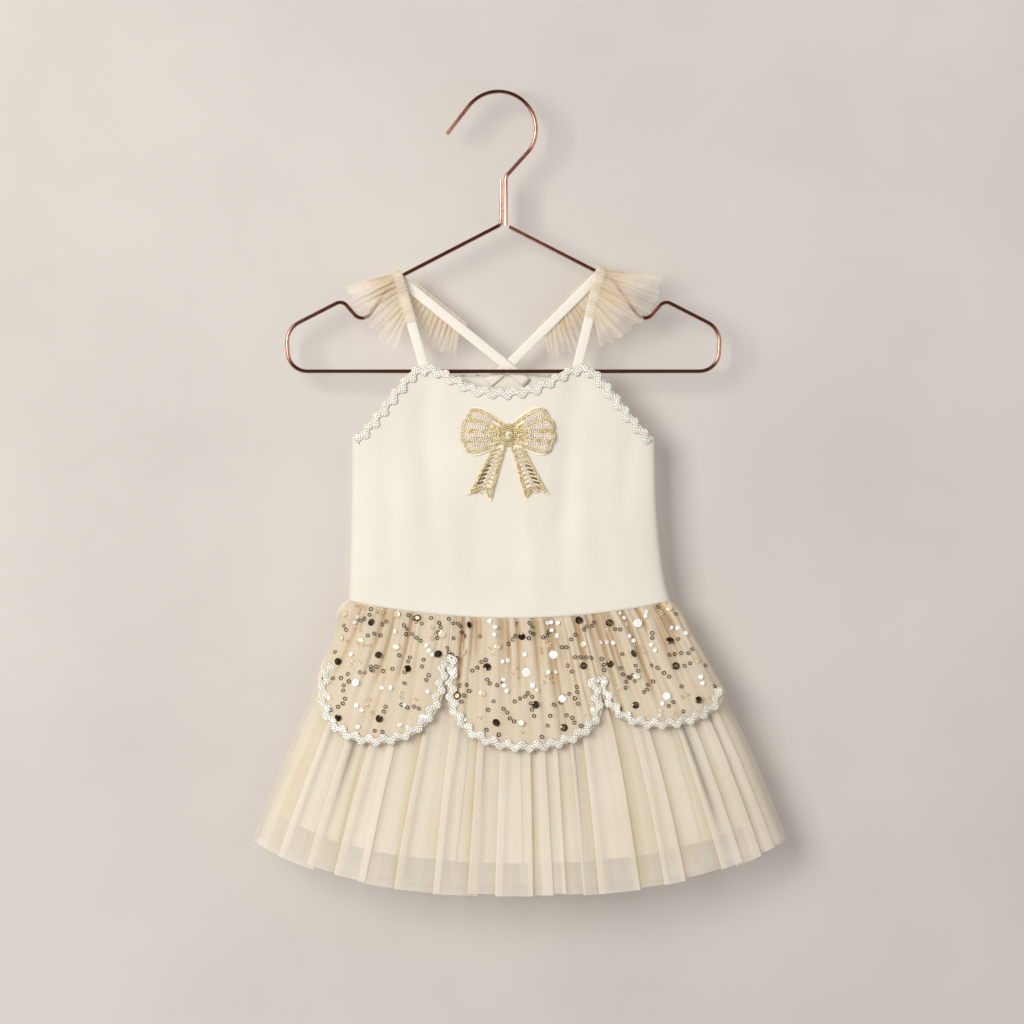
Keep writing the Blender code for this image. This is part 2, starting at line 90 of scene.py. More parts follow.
def newMaterial(name, **values):
    # a principled material; values are its inputs, with the spaces in their names left out
    material = bpy.data.materials.new(name)
    material.use_nodes = True
    tree = material.node_tree
    shader = tree.nodes["Principled BSDF"]
    for socket in shader.inputs:
        if socket.name.replace(" ", "") in values:
            socket.default_value = values[socket.name.replace(" ", "")]
    return material, tree, shader


def coordinates(tree, kind):
    return addNode(tree, "ShaderNodeTexCoord").outputs[kind]


def texture(tree, kind, place, output="Fac", **settings):
    # DetailScale and the like stand for sockets with a space in their names
    named = {{"DetailScale": "Detail Scale"}.get(key, key): value for key, value in settings.items()}
    return addNode(tree, "ShaderNodeTex" + kind, named, {"Vector": place}).outputs[output]


def stretched(tree, place, **settings):
    return addNode(tree, "ShaderNodeMapping", settings, {"Vector": place}).outputs[0]


def attribute(tree, name):
    return addNode(tree, "ShaderNodeAttribute", {"attribute_name": name}).outputs["Fac"]


def calculate(tree, operation, *terms, clamp=False):
    # a math node whose terms are numbers or sockets
    node = addNode(tree, "ShaderNodeMath", {"operation": operation, "use_clamp": clamp})
    for place, term in enumerate(terms):
        if isinstance(term, bpy.types.NodeSocket):
            tree.links.new(term, node.inputs[place])
        else:
            node.inputs[place].default_value = term
    return node.outputs[0]


def remap(tree, value, low, high, fromLow=0.0, fromHigh=1.0):
    spans = {"From Min": fromLow, "From Max": fromHigh, "To Min": low, "To Max": high}
    return addNode(tree, "ShaderNodeMapRange", spans, {"Value": value}).outputs[0]


def paintWith(tree, shader, factor, *stops):
    # the base colour from a ramp of places and colours
    ramp = addNode(tree, "ShaderNodeValToRGB", {}, {"Fac": factor})
    while len(ramp.color_ramp.elements) < len(stops):
        ramp.color_ramp.elements.new(0.5)
    for element, (place, colour) in zip(ramp.color_ramp.elements, stops):
        element.position = place
        element.color = hexLinear(colour)
    tree.links.new(ramp.outputs["Color"], shader.inputs["Base Color"])


def raiseWith(tree, shader, height, strength, distance):
    bump = addNode(tree, "ShaderNodeBump", {"Strength": strength, "Distance": distance}, {"Height": height})
    tree.links.new(bump.outputs[0], shader.inputs["Normal"])


def newObject(name, data):
    obj = bpy.data.objects.new(name, data)
    bpy.context.scene.collection.objects.link(obj)
    return obj


def runLengths(places):
    # how far along a line of points each one lies
    lengths = [0.0]
    for before, after in zip(places, places[1:]):
        lengths.append(lengths[-1] + (after - before).length)
    return lengths


def locate(lengths, along):
    # the stretch that holds a place, and how far through that stretch it is
    index = max(k for k in range(len(lengths) - 1) if lengths[k] <= along)
    return index, (along - lengths[index]) / (lengths[index + 1] - lengths[index])


def readTable(table, at):
    keys = [row[0] for row in table]
    at = min(max(at, keys[0]), keys[-1])
    index = max(k for k in range(len(keys) - 1) if keys[k] <= at)
    span = keys[index + 1] - keys[index]
    t = (at - keys[index]) / span
    low, high = max(index - 1, 0), min(index + 2, len(keys) - 1)
    values = []
    for column in range(1, len(table[0])):
        start, end = table[index][column], table[index + 1][column]
        startSlope = (end - table[low][column]) / (keys[index + 1] - keys[low]) * span
        endSlope = (table[high][column] - start) / (keys[high] - keys[index]) * span
        rise = startSlope * (t**3 - 2 * t**2 + t) + endSlope * (t**3 - t**2)
        values.append(start * (2 * t**3 - 3 * t**2 + 1) + end * (3 * t**2 - 2 * t**3) + rise)
    return values


def smooth(low, high, value):
    t = min(max((value - low) / (high - low), 0.0), 1.0)
    return t * t * (3 - 2 * t)


def skin(side, share, drop, out):
    # a point of the dress on its flattened oval ring, moved out of it
    middle, halfWidth, depthFront, depthBack = readTable(dress["rings"], drop)
    depth = depthFront if side == front else depthBack
    across = min(abs(share), 1.0)
    oval = dress["oval"]
    deep = (1 - across**oval) ** (1 / oval)
    slopeX = across ** (oval - 1) / halfWidth
    slopeY = deep ** (oval - 1) / depth
    steep = math.hypot(slopeX, slopeY)
    x = halfWidth * across + out * slopeX / steep
    y = dress["seamReach"] - dress["seamLap"] * (1 - deep) + depth * deep + out * slopeY / steep
    return Vector((middle + math.copysign(x, share), side * y, -drop))


def depthAt(share):
    # how far forward of the side seam a place lies, as a share of the half's depth
    return (1 - min(abs(share), 1.0) ** dress["oval"]) ** (1 / dress["oval"])


def shareAt(deep):
    return (1 - deep ** dress["oval"]) ** (1 / dress["oval"])


def waistDrop(share):
    return dress["waistMiddle"] - dress["waistRise"] * share**2


def upperEdge(side, share):
    return readTable(dress["frontEdge"] if side == front else dress["backEdge"], abs(share))[0]


def ruffled(place, scale, seed=0.0):
    return noise.noise(Vector(place) * scale + Vector((seed, seed * 1.7, -seed)))


def gridMesh(name, places, material, wrap=False, tones=None):
    # a sheet through rows of points, with a UV map in metres along its columns and rows;
    # tones say how deep in a fold each point lies, from 0 to 1; the tulle paints shade and highlight from
    # them
    across, down = len(places), len(places[0])
    along = runLengths([column[down // 2] for column in places])
    depth = runLengths(places[across // 2])
    bm = bmesh.new()
    uvLayer = bm.loops.layers.uv.new("cloth")
    foldLayer = bm.verts.layers.float.new("fold") if tones else None
    verts = [[bm.verts.new(place * mm) for place in column] for column in places]
    if tones:
        for column, line in zip(verts, tones):
            for vert, tone in zip(column, line):
                vert[foldLayer] = tone
    rows = down if wrap else down - 1
    for i in range(across - 1):
        for j in range(rows):
            corners = ((i, j), (i + 1, j), (i + 1, j + 1), (i, j + 1))
            face = bm.faces.new([verts[a][b % down] for a, b in corners])
            face.smooth = True
            for loop, (a, b) in zip(face.loops, corners):
                reach = depth[b] if b < down else depth[-1] + (depth[-1] - depth[-2])
                loop[uvLayer].uv = (along[a] * mm, reach * mm)
    return keepMesh(bm, name, material)


def keepMesh(bm, name, material):
    mesh = bpy.data.meshes.new(name)
    bm.to_mesh(mesh)
    bm.free()
    mesh.materials.append(material)
    return newObject(name, mesh)


def faceOut(obj, side):
    # turns a front or back sheet's faces away from the dress's middle
    mesh = obj.data
    lean = sum(polygon.normal.y * polygon.area for polygon in mesh.polygons)
    if lean * side < 0:
        mesh.flip_normals()


def thicken(obj, thickness, offset=0.0):
    modifier = obj.modifiers.new("Wall", "SOLIDIFY")
    modifier.thickness = thickness * mm
    modifier.offset = offset
    modifier.use_even_offset = True
    applyModifiers(obj)


def applyModifiers(obj):
    # keeps what the modifiers make as the object's own mesh
    bpy.context.view_layer.update()
    graph = bpy.context.evaluated_depsgraph_get()
    mesh = bpy.data.meshes.new_from_object(obj.evaluated_get(graph))
    obj.modifiers.clear()
    obj.data = mesh


def ribbonMesh(name, stations, halfWidth, halfThick, material, sides):
    # a flat band swept through stations of (middle, way across, way out), with rounded edges and closed ends
    places = []
    for middle, across, out in stations:
        ring = []
        for step in range(sides):
            angle = 2 * math.pi * (step + 0.5) / sides
            c, s = math.cos(angle), math.sin(angle)
            flatC = math.copysign(abs(c) ** 0.45, c)
            ring.append(middle + across * halfWidth * flatC + out * halfThick * s)
        places.append(ring)
    obj = gridMesh(name, places, material, wrap=True)
    bm = bmesh.new()
    bm.from_mesh(obj.data)
    bmesh.ops.holes_fill(bm, edges=[edge for edge in bm.edges if edge.is_boundary], sides=0)
    bmesh.ops.recalc_face_normals(bm, faces=bm.faces)
    bm.to_mesh(obj.data)
    bm.free()
    return obj


def finishPiece(obj, slotName, *nodes):
    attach(obj, body)
    if nodes:
        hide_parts(*nodes)


def shadeTulle(name, edge, light, deep, cover, foldCover, seed):
    # Nylon tulle: a knitted hexagonal net, so fine that it reads as a haze; denser in its folds, and there
    # darker and warmer, partly the layered net and partly painted shade in the creases, with the fold crests
    # painted lighter as a highlight
    material, tree, shader = newMaterial(name, Roughness=0.7, SheenWeight=0.3, SheenRoughness=0.45,
                                         SpecularIORLevel=0.2)
    uv = coordinates(tree, "UV")
    fold = attribute(tree, "fold")
    lengthwise = stretched(tree, uv, Scale=(260, 5, 1), Location=(seed, 0, 0))
    crinkles = texture(tree, "Noise", lengthwise, Scale=1.0, Detail=2.0)
    # net cells are 1.1 mm here and a little under 1 mm in the real net
    cells = stretched(tree, uv, Scale=(900, 900, 1), Location=(0, seed, 0))
    net = texture(tree, "Voronoi", cells, "Distance", feature="DISTANCE_TO_EDGE", Scale=1.0)
    clouds = texture(tree, "Noise", uv, Scale=22.0, Detail=2.0)
    # fold tone: 0 is the crest colour (painted highlight), 0.25 the plain net, 1 the fold colour (painted
    # shade with the denser net)
    toned = calculate(tree, "ADD", fold, remap(tree, clouds, -0.08, 0.08, 0.3, 0.7), clamp=True)
    paintWith(tree, shader, toned, (0.0, edge), (0.25, light), (1.0, deep))
    dense = calculate(tree, "MULTIPLY_ADD", fold, foldCover, cover)
    wave = remap(tree, crinkles, -0.035, 0.035, 0.3, 0.7)
    woven = calculate(tree, "ADD", wave, remap(tree, net, 0.04, -0.02, 0.0, 0.3))
    tree.links.new(calculate(tree, "ADD", dense, woven, clamp=True), shader.inputs["Alpha"])
    raiseWith(tree, shader, crinkles, 0.12, 0.0003)
    return material


def shadeJersey():
    # Cotton jersey: fine knit wales down the cloth, matte, a warm ivory
    material, tree, shader = newMaterial("combedCottonJersey", Roughness=0.9, SheenWeight=0.2,
                                         SpecularIORLevel=0.2)
    uv = coordinates(tree, "UV")
    wales = texture(tree, "Wave", uv, Scale=420.0, Distortion=1.2, Detail=1.0, DetailScale=2.0)
    courses = texture(tree, "Noise", uv, Scale=900.0, Detail=2.0)
    cloud = texture(tree, "Noise", uv, Scale=14.0, Detail=3.0)
    paintWith(tree, shader, cloud, (0.3, "#DDD7CA"), (0.7, "#E4DED1"))
    raiseWith(tree, shader, calculate(tree, "ADD", wales, courses), 0.22, 0.00025)
    return material


def shadeElastic():
    # Woven elastic: fine ribs across the band, a slight satin shine
    material, tree, shader = newMaterial("wovenElastic", Roughness=0.6, SheenWeight=0.15)
    ribs = texture(tree, "Wave", coordinates(tree, "UV"), Scale=300.0, Distortion=0.4)
    paintWith(tree, shader, ribs, (0.2, "#DFD9CB"), (0.8, "#EBE6DA"))
    raiseWith(tree, shader, ribs, 0.3, 0.0002)
    return material


def shadeLurex():
    # Ric-rac of lurex and cotton: fine slanting threads, pale silver with a green tinge, with painted shade
    # in the gaps between the threads
    material, tree, shader = newMaterial("lurexRicrac", Metallic=0.2)
    uv = coordinates(tree, "UV")
    threads = []
    for turn in (0.75, -0.75):
        slanted = stretched(tree, uv, Rotation=(0, 0, turn))
        threads.append(texture(tree, "Wave", slanted, Scale=210.0, Distortion=3.5, Detail=2.0,
                               DetailScale=2.0))
    plait = calculate(tree, "MAXIMUM", *threads)
    # painted shade: dark where no thread lies, light on the threads
    paintWith(tree, shader, plait, (0.1, "#827D6A"), (0.5, "#C3BFAE"), (0.95, "#EEECE2"))
    glints = texture(tree, "Voronoi", uv, "Distance", Scale=900.0)
    tree.links.new(remap(tree, glints, 0.3, 0.65), shader.inputs["Roughness"])
    raiseWith(tree, shader, plait, 0.45, 0.0004)
    return material


def shadeCopper():
    # Copper plated steel wire: bright pinkish metal with faint drawing marks, and a painted reflection: dark
    # along its front and back where it lies level, bright on its flanks
    material, tree, shader = newMaterial("copperPlatedWire", Metallic=1.0, CoatWeight=0.8, CoatRoughness=0.08)
    marks = texture(tree, "Noise", coordinates(tree, "Object"), Scale=260.0, Detail=3.0)
    # drawing marks plus the painted reflection tone; the ramp's dark and bright ends are that painted
    # reflection
    marksAndReflection = calculate(tree, "MULTIPLY_ADD", marks, 0.3, attribute(tree, "reflectionTone"))
    paintWith(tree, shader, marksAndReflection, (0.2, "#3F2018"), (0.6, "#8A5444"), (1.0, "#E2B5A2"))
    tree.links.new(remap(tree, marks, 0.16, 0.26), shader.inputs["Roughness"])
    return material


def shadeHard(name, dark, light, metallic, roughness, scale, coat=0.0):
    # Sequins and beads: a lacquered or plated skin with slight differences from one to the next
    material, tree, shader = newMaterial(name, Metallic=metallic, Roughness=roughness, CoatWeight=coat)
    patches = texture(tree, "Noise", coordinates(tree, "Object"), Scale=scale, Detail=1.0)
    paintWith(tree, shader, patches, (0.35, dark), (0.65, light))
    return material


def shadeFelt():
    # Wool felt under the beads: pressed fibres, ivory
    material, tree, shader = newMaterial("pressedWoolFelt", Roughness=0.95)
    fibres = texture(tree, "Noise", coordinates(tree, "Object"), Scale=1400.0, Detail=4.0)
    paintWith(tree, shader, fibres, (0.3, "#E9DFC6"), (0.7, "#F6EFDD"))
    raiseWith(tree, shader, fibres, 0.4, 0.0003)
    return material


copper = shadeCopper()
jersey = shadeJersey()
elastic = shadeElastic()
lurex = shadeLurex()
felt = shadeFelt()
# colours: fold crest (painted highlight), plain net, fold (partly painted shade); then cover, extra cover in
# folds, seed
longTulle = shadeTulle("nylonTulleLong", "#FCF6EC", "#F3EADA", "#D6C39F", 0.38, 0.14, 3.0)
shortTulle = shadeTulle("nylonTulleShort", "#F6ECDA", "#F2E8D4", "#E2D0AA", 0.66, 0.14, 11.0)
frillTulle = shadeTulle("nylonTulleFrill", "#F8EBD8", "#F4E6D1", "#D3BB95", 0.15, 0.62, 23.0)
sequinTulle = shadeTulle("nylonTulleOverskirt", "#EADBC2", "#E6D5BA", "#AF9067", 0.62, 0.25, 37.0)
print("materials ready")


# The hanger: one 3 mm wire bent to shape, its two ends side by side in the neck
hanger = {
    "wire": 3.0, "hookInside": 49.0, "centre": 3.4, "neckBend": 57.5, "shoulder": 90.7, "bar": 192.4,
    "slope": math.radians(27.5), "gap": 0.3,
    # where the hook's arc begins and ends, and its straight tip
    "arc": (math.radians(142), math.radians(-36)), "tip": 25.0,
}


def roundedPath(corners, steps=9):
    path = [Vector(corners[0][:2])]
    for before, corner, after in zip(corners, corners[1:], corners[2:]):
        here = Vector(corner[:2])
        backWay = (Vector(before[:2]) - here).normalized()
        onWay = (Vector(after[:2]) - here).normalized()
        halfTurn = (math.pi - backWay.angle(onWay)) / 2
        reach = corner[2] * math.tan(halfTurn)
        centre = here + (backWay + onWay).normalized() * corner[2] / math.cos(halfTurn)
        start, end = here + backWay * reach - centre, here + onWay * reach - centre
        turn = start.angle_signed(end)
        for step in range(steps + 1):
            path.append(centre + Matrix.Rotation(-turn * step / steps, 2) @ start)
    path.append(Vector(corners[-1][:2]))
    return [Vector((place.x, 0.0, place.y)) for place in path]


def wireMesh(name, path, width, material):
    curve = bpy.data.curves.new(name, "CURVE")
    curve.dimensions = "3D"
    curve.bevel_depth = width / 2 * mm
    curve.bevel_resolution = 5
    curve.use_fill_caps = True
    spline = curve.splines.new("POLY")
    spline.points.add(len(path) - 1)
    for target, place in zip(spline.points, path):
        target.co = (*(place * mm), 1)
    holder = newObject(name + "Curve", curve)
    bpy.context.view_layer.update()
    graph = bpy.context.evaluated_depsgraph_get()
    mesh = bpy.data.meshes.new_from_object(holder.evaluated_get(graph))
    bpy.data.objects.remove(holder)
    bm = bmesh.new()
    bm.from_mesh(mesh)
    bmesh.ops.remove_doubles(bm, verts=bm.verts, dist=0.00001)
    bmesh.ops.recalc_face_normals(bm, faces=bm.faces)
    bm.to_mesh(mesh)
    bm.free()
    mesh.shade_smooth()
    mesh.set_sharp_from_angle(angle=math.radians(50))
    # painted reflection: the wire's front and back are painted dark where it lies level and less dark where
    # it stands upright, its flanks bright
    reflectionTone = mesh.attributes.new("reflectionTone", "FLOAT", "POINT")
    for vert in mesh.vertices:
        at = min(range(len(path)), key=lambda k: (path[k] * mm - vert.co).length_squared)
        way = (path[min(at + 1, len(path) - 1)] - path[max(at - 1, 0)]).normalized()
        level = 1 - 0.55 * smooth(0.6, 1.0, abs(way.z))
        reflectionTone.data[vert.index].value = 1 - level * smooth(0.4, 0.98, abs(vert.normal.y))
    mesh.materials.clear()
    mesh.materials.append(material)
    mesh.name = name
    return newObject(name, mesh)


def makeHanger():
    neck = hanger["wire"] / 2 + hanger["gap"] / 2
    fall = math.tan(hanger["slope"])
    half = (
        (2.2, -hanger["shoulder"], 3.0), (76.0, -hanger["shoulder"] - 76.0 * fall + 1.2, 9.0),
        (97.2, -160.0, 7.0), (111.6, -143.2, 6.0), (150.4, -163.0, 15.0), (148.6, -hanger["bar"], 13.5),
    )
    left = [(hanger["centre"] - x, z, r) for x, z, r in half]
    right = [(hanger["centre"] + x, z, r) for x, z, r in half]
    left[0] = (hanger["centre"] - neck, -hanger["shoulder"], 4.0)
    start = (hanger["centre"] - neck, -hanger["neckBend"] - 2.0, 0)
    end = (hanger["centre"] + neck + hanger["wire"] / 2 + 0.9, -hanger["shoulder"] - 1.6, 0)
    path = roundedPath([start, *left, *reversed(right[1:]), end])
    loop = wireMesh("hangerLoop", path, hanger["wire"], copper)
    finishPiece(loop, "copper_wire", "hanger_frame")

    radius = (hanger["hookInside"] + hanger["wire"]) / 2
    middle = Vector((0, -hanger["hookInside"] / 2))
    first, last = hanger["arc"]
    arc = []
    for step in range(33):
        angle = first + (last - first) * step / 32
        arc.append(middle + radius * Vector((math.cos(angle), math.sin(angle))))
    tip = arc[0] + hanger["tip"] * Vector((-math.sin(first), math.cos(first)))
    foot = hanger["centre"] + neck
    bend = roundedPath([
        (arc[-1].x, arc[-1].y, 0), (foot, -hanger["neckBend"], 6.0), (foot, -hanger["shoulder"] - 0.6, 0),
    ])
    path = [Vector((place.x, 0, place.y)) for place in [tip, *arc[:-1]]] + bend
    hook = wireMesh("hangerHook", path, hanger["wire"], copper)
    finishPiece(hook, "copper_wire", "hanger_hook")
    print("hanger made")


makeHanger()


# The bodice: two jersey panels, with the soft dents of a hung dress
bodice = {
    "wall": 0.8, "columns": 150, "rows": 90,
    # half width that the dents are measured in, and how far a dent reaches along
    "half": 104, "reach": 2.2,
    # share of the half width, drop, half width and half length in mm, depth, slant
    "dents": {
        front: (
            (-0.52, 262, 10, 60, 1.0, 0.10), (-0.20, 310, 13, 44, 0.7, -0.05), (0.16, 318, 9, 38, -0.6, 0.03),
            (0.42, 268, 9, 66, 1.1, -0.08), (0.66, 312, 12, 40, 0.8, 0.06), (-0.78, 300, 9, 50, 0.7, 0.04),
            (0.52, 204, 7, 20, 0.5, 0.2), (-0.50, 206, 7, 20, 0.5, -0.2), (0.84, 262, 7, 38, 0.6, -0.1),
            (-0.05, 350, 20, 12, 0.5, 0.5),
        ),
        back: (
            (-0.12, 240, 9, 52, 0.9, 0.12), (0.24, 250, 10, 60, 1.0, -0.10), (-0.46, 300, 12, 48, 0.9, 0.06),
            (0.55, 306, 12, 44, 0.8, -0.04), (0.02, 330, 14, 30, 0.6, 0.0), (0.78, 280, 8, 48, 0.7, 0.05),
            (-0.76, 270, 8, 44, 0.7, -0.06),
        ),
    },
}


def bodiceDent(side, share, drop):
    total = 0.4 * ruffled((share * 3.1, drop * 0.018, side), 1.0, 5.0)
    for dentShare, dentDrop, halfWide, halfLong, depth, slant in bodice["dents"][side]:
        alongDent = (drop - dentDrop) / halfLong
        if abs(alongDent) < bodice["reach"]:
            acrossDent = ((share - dentShare) * bodice["half"] - slant * (drop - dentDrop)) / halfWide
            total -= 2.0 * depth * math.exp(-acrossDent * acrossDent - alongDent * alongDent)
    calm = smooth(0, 10, waistDrop(share) - drop) * smooth(0, 8, drop - upperEdge(side, share))
    return total * calm * (1 - abs(share) ** 6)


def bodicePoint(side, share, drop, out=0.0):
    return skin(side, share, drop, dress["bodiceOut"] + bodiceDent(side, share, drop) + out)


def spread(count):
    return [math.sin(math.pi / 2 * (2 * step / count - 1)) for step in range(count + 1)]


def makeBodice(side, name, node):
    places = []
    rows = bodice["rows"]
    for share in spread(bodice["columns"]):
        top, bottom = upperEdge(side, share), waistDrop(share) + 0.8
        drops = [top + (bottom - top) * row / rows for row in range(rows + 1)]
        places.append([bodicePoint(side, share, drop) for drop in drops])
    obj = gridMesh(name, places, jersey)
    faceOut(obj, side)
    thicken(obj, bodice["wall"])
    finishPiece(obj, "cotton_jersey", node)


makeBodice(front, "bodiceFront", "bodice_front")
makeBodice(back, "bodiceBack", "bodice_back")
print("bodice made")


# Straps: elastic bands sewn inside the front's peaks, over the wire, crossed behind
straps = {
    # overWire is the thickness that the bend over the wire leaves room for
    "width": 7.0, "wall": 1.0, "overWire": 1.2, "ease": 1.5,
    "crossX": 6.2, "crossDrop": 188.7, "seatDepth": 4.2,
    "left": {"side": -1, "frontX": -51.6, "frontDrop": 188.7, "wireX": -69.5, "crossDepth": 2.4,
             "backX": 19.8, "backDrop": 200.5},
    "right": {"side": 1, "frontX": 55.1, "frontDrop": 187.3, "wireX": 70.5, "crossDepth": 4.2,
              "backX": -7.3, "backDrop": 200.5},
}


def wireDrop(x):
    return hanger["shoulder"] + (abs(x - hanger["centre"]) - 2.2) * math.tan(hanger["slope"])


def strapStations(strap):
    # middle of the band, its way across and its way out, from the front foot to the back one
    around = (hanger["wire"] + straps["overWire"]) / 2 + hanger["gap"] * straps["ease"]
    top = Vector((strap["wireX"], 0, -wireDrop(strap["wireX"])))
    slope = -strap["side"] * hanger["slope"]
    up = Vector((-math.sin(slope), 0, math.cos(slope)))
    foot = Vector((strap["frontX"], -3.4, -strap["frontDrop"]))
    frontTop = top + Vector((0, -around, 0))
    run = (foot - frontTop).normalized()
    frontTilt = math.atan2(run.x, -run.z)
    stations = [(foot + run * 6.0, frontTilt)]
    for step in range(0, 12):
        stations.append((foot.lerp(frontTop, step / 12), frontTilt))
    crossing = Vector((straps["crossX"], strap["crossDepth"], -straps["crossDrop"]))
    backTop = top + Vector((0, around, 0))
    fall = (crossing - backTop).normalized()
    backTilt = math.atan2(fall.x, -fall.z)
    for step in range(13):
        angle = math.pi * step / 12
        place = top + around * (math.sin(angle) * up + Vector((0, -math.cos(angle), 0)))
        if step <= 6:
            tilt = frontTilt + (slope - frontTilt) * smooth(0, 6, step)
        else:
            tilt = slope + (backTilt - slope) * smooth(6, 12, step)
        stations.append((place, tilt))
    for step in range(1, 25):
        stations.append((backTop.lerp(crossing, step / 24), backTilt))
    seat = Vector((strap["backX"], straps["seatDepth"], -strap["backDrop"]))
    for step in range(1, 7):
        stations.append((crossing.lerp(seat, step / 6), backTilt))
    placed = []
    for index, (place, tilt) in enumerate(stations):
        across = Vector((math.cos(tilt), 0, math.sin(tilt)))
        ahead = stations[min(index + 1, len(stations) - 1)][0] - stations[max(index - 1, 0)][0]
        placed.append((place, across, across.cross(ahead).normalized()))
    return placed


def makeStrap(key):
    stations = strapStations(straps[key])
    name = "strap" + key.capitalize()
    obj = ribbonMesh(name, stations, straps["width"] / 2, straps["wall"] / 2, elastic, 12)
    finishPiece(obj, "strap_elastic", "strap_" + key)


for strapKey in ("left", "right"):
    makeStrap(strapKey)
print("straps made")


# Shoulder frills: a strip of tulle gathered along each strap
frill = {
    "front": 32.0, "back": 58.0, "header": 7.6, "waves": 26,
    # share of its length, heading of the net in degrees, width, lean out from the strap
    "left": (
        (0.0, 254, 19, 2.0), (0.1, 234, 25, 2.4), (0.2, 216, 29, 2.6), (0.34, 202, 31, 2.4),
        (0.42, 195, 29, 0.6), (0.5, 205, 28, 2.0), (0.7, 238, 24, 2.4), (1.0, 262, 15, 2.0),
    ),
    "right": (
        (0.0, 262, 20, 2.0), (0.08, 238, 25, 2.4), (0.18, 212, 33, 2.6), (0.27, 202, 39, 2.6),
        (0.36, 190, 37, 2.0), (0.42, 180, 33, 0.6), (0.5, 200, 29, 2.0), (0.7, 236, 26, 2.4),
        (1.0, 262, 17, 2.0),
    ),
    "flat": {"left": (0.22, 0.036), "right": (0.22, 0.040)},
}


def makeFrill(key, seed):
    strap = straps[key]
    stations = strapStations(strap)
    lengths = runLengths([station[0] for station in stations])
    overWire = math.pi * ((hanger["wire"] + straps["overWire"]) / 2 + hanger["gap"])
    total = frill["front"] + overWire + frill["back"]
    start = lengths[13] - frill["front"]
    rng = random.Random(seed)
    strength = [0.2 + 1.1 * rng.random() for _ in range(frill["waves"] + 2)]
    shift = [rng.uniform(-0.4, 0.4) for _ in range(frill["waves"] + 2)]
    ragged = [rng.uniform(-1.0, 1.0) for _ in range(frill["waves"] * 3 + 2)]
    rows = [-1.0, -0.8, -0.6, -0.4, -0.2] + [row / 16 for row in range(17)]
    places, tones = [], []
    count = frill["waves"] * 12
    for column in range(count + 1):
        share = column / count
        phase = share * frill["waves"]
        index = int(phase)
        blendTo = smooth(0, 1, phase - index)
        power = strength[index] * (1 - blendTo) + strength[index + 1] * blendTo
        drift = shift[index] * (1 - blendTo) + shift[index + 1] * blendTo
        line = []
        for row in rows:
            fan = max(row, 0.0)
            swing = math.sin(2 * math.pi * (phase + drift * fan))
            fold = math.sin(4 * math.pi * (phase + drift * fan))
            bunch = (0.34 - 0.10 * fan) * power / frill["waves"]
            moved = min(max(share - bunch * fold * 0.62, 0.0), 1.0)
            at, t = locate(lengths, start + moved * total)
            place = stations[at][0].lerp(stations[at + 1][0], t)
            across = stations[at][1].lerp(stations[at + 1][1], t).normalized()
            out = stations[at][2].lerp(stations[at + 1][2], t).normalized()
            outward = across * strap["side"]
            angle, wide, lean = readTable(frill[key], moved)
            heading = Vector((math.cos(math.radians(angle)), 0, math.sin(math.radians(angle))))
            heading.x *= -strap["side"]
            edge = place + out * 1.7 + outward * frill["header"] / 2
            if row < 0:
                # the gathered heading sewn along the strap puckers and bulges a little
                pucker = 0.5 * math.cos(4 * math.pi * phase) * power
                swell = 0.9 * math.sqrt(max(1 - (2 * row + 1) ** 2, 0.0))
                wideHeader = frill["header"] * (1.04 + 0.2 * smooth(0.45, 0.55, moved)) + pucker
                bulge = 0.3 * math.sin(4 * math.pi * (phase + drift)) * power + swell
                line.append(edge + outward * wideHeader * row + out * bulge)
                continue
            wide += 1.5 * ragged[int(phase * 3)] + 1.8 * ruffled((phase, fan, 0), 0.9, seed)
            sway = power * (0.4 + 1.1 * fan) * swing + 0.8 * fan * ruffled((phase * 0.4, fan, 1), 1.0, seed)
            line.append(edge + heading * wide * row + out * (lean * min(row * 2, 1) + 0.6 * row + sway))
        places.append(line)
        # the net is darker and denser towards the strap, in random streaks and in the heading
        streak = 0.5 * max(ragged[int(phase * 3)], 0.0) ** 2
        strapwardTones = [0.7 * (1 - smooth(0.0, 1.0, row)) + streak * (1 - 0.5 * row) for row in rows]
        tones.append([0.45 if row < 0 else tone for row, tone in zip(rows, strapwardTones)])
    name = "frill" + key.capitalize()
    obj = gridMesh(name, places, frillTulle, tones=tones)
    finishPiece(obj, "champagne_tulle", "ruffle_" + key)


makeFrill("left", 4)
makeFrill("right", 9)
print("frills made")


# The skirt: long tulle over two shorter layers, all pleated by hand
skirt = {
    # share of the half width at each fold's edge, the way the edge faces, how strongly it shows
    "pleats": (
        (-0.90, -1, 0.5), (-0.79, -1, 0.3), (-0.68, -1, 0.75), (-0.56, 1, 0.3), (-0.447, -1, 0.9),
        (-0.32, -1, 0.5), (-0.19, -1, 0.9), (-0.09, -1, 0.5), (0.047, 1, 0.8), (0.115, 1, 0.4),
        (0.17, 1, 0.5), (0.225, -1, 0.3), (0.285, -1, 0.75), (0.435, 1, 0.8), (0.52, -1, 0.5),
        (0.60, 1, 0.8), (0.735, -1, 0.65), (0.82, 1, 0.7), (0.90, 1, 0.7), (0.955, 1, 0.4),
    ),
    # folds round the side, from the seam: depth as a share, height, fold tone for the painted fold shade
    "sideFolds": (
        (0.0, 0.2, 0.2), (0.07, 0.1, 0.35), (0.14, -0.3, 0.65), (0.21, -0.05, 0.4), (0.28, 0.3, 0.2),
        (0.35, -0.1, 0.45), (0.42, -0.35, 0.65),
    ),
    "underlay": 5.0,
    "hemLong": 551.0, "hemShort": 530.0, "hemRise": 34.0, "hemCurve": 2.5,
    "hemHalf": 185.0,
    # how far the pressed pleats stand up, against the plain part's folds
    "lie": 0.5,
    # half width that folds are spaced in, where they might run past each other
    "room": 150.0,
    "rows": 44,
}


def layerAt(below):
    return readTable(dress["layers"], below)


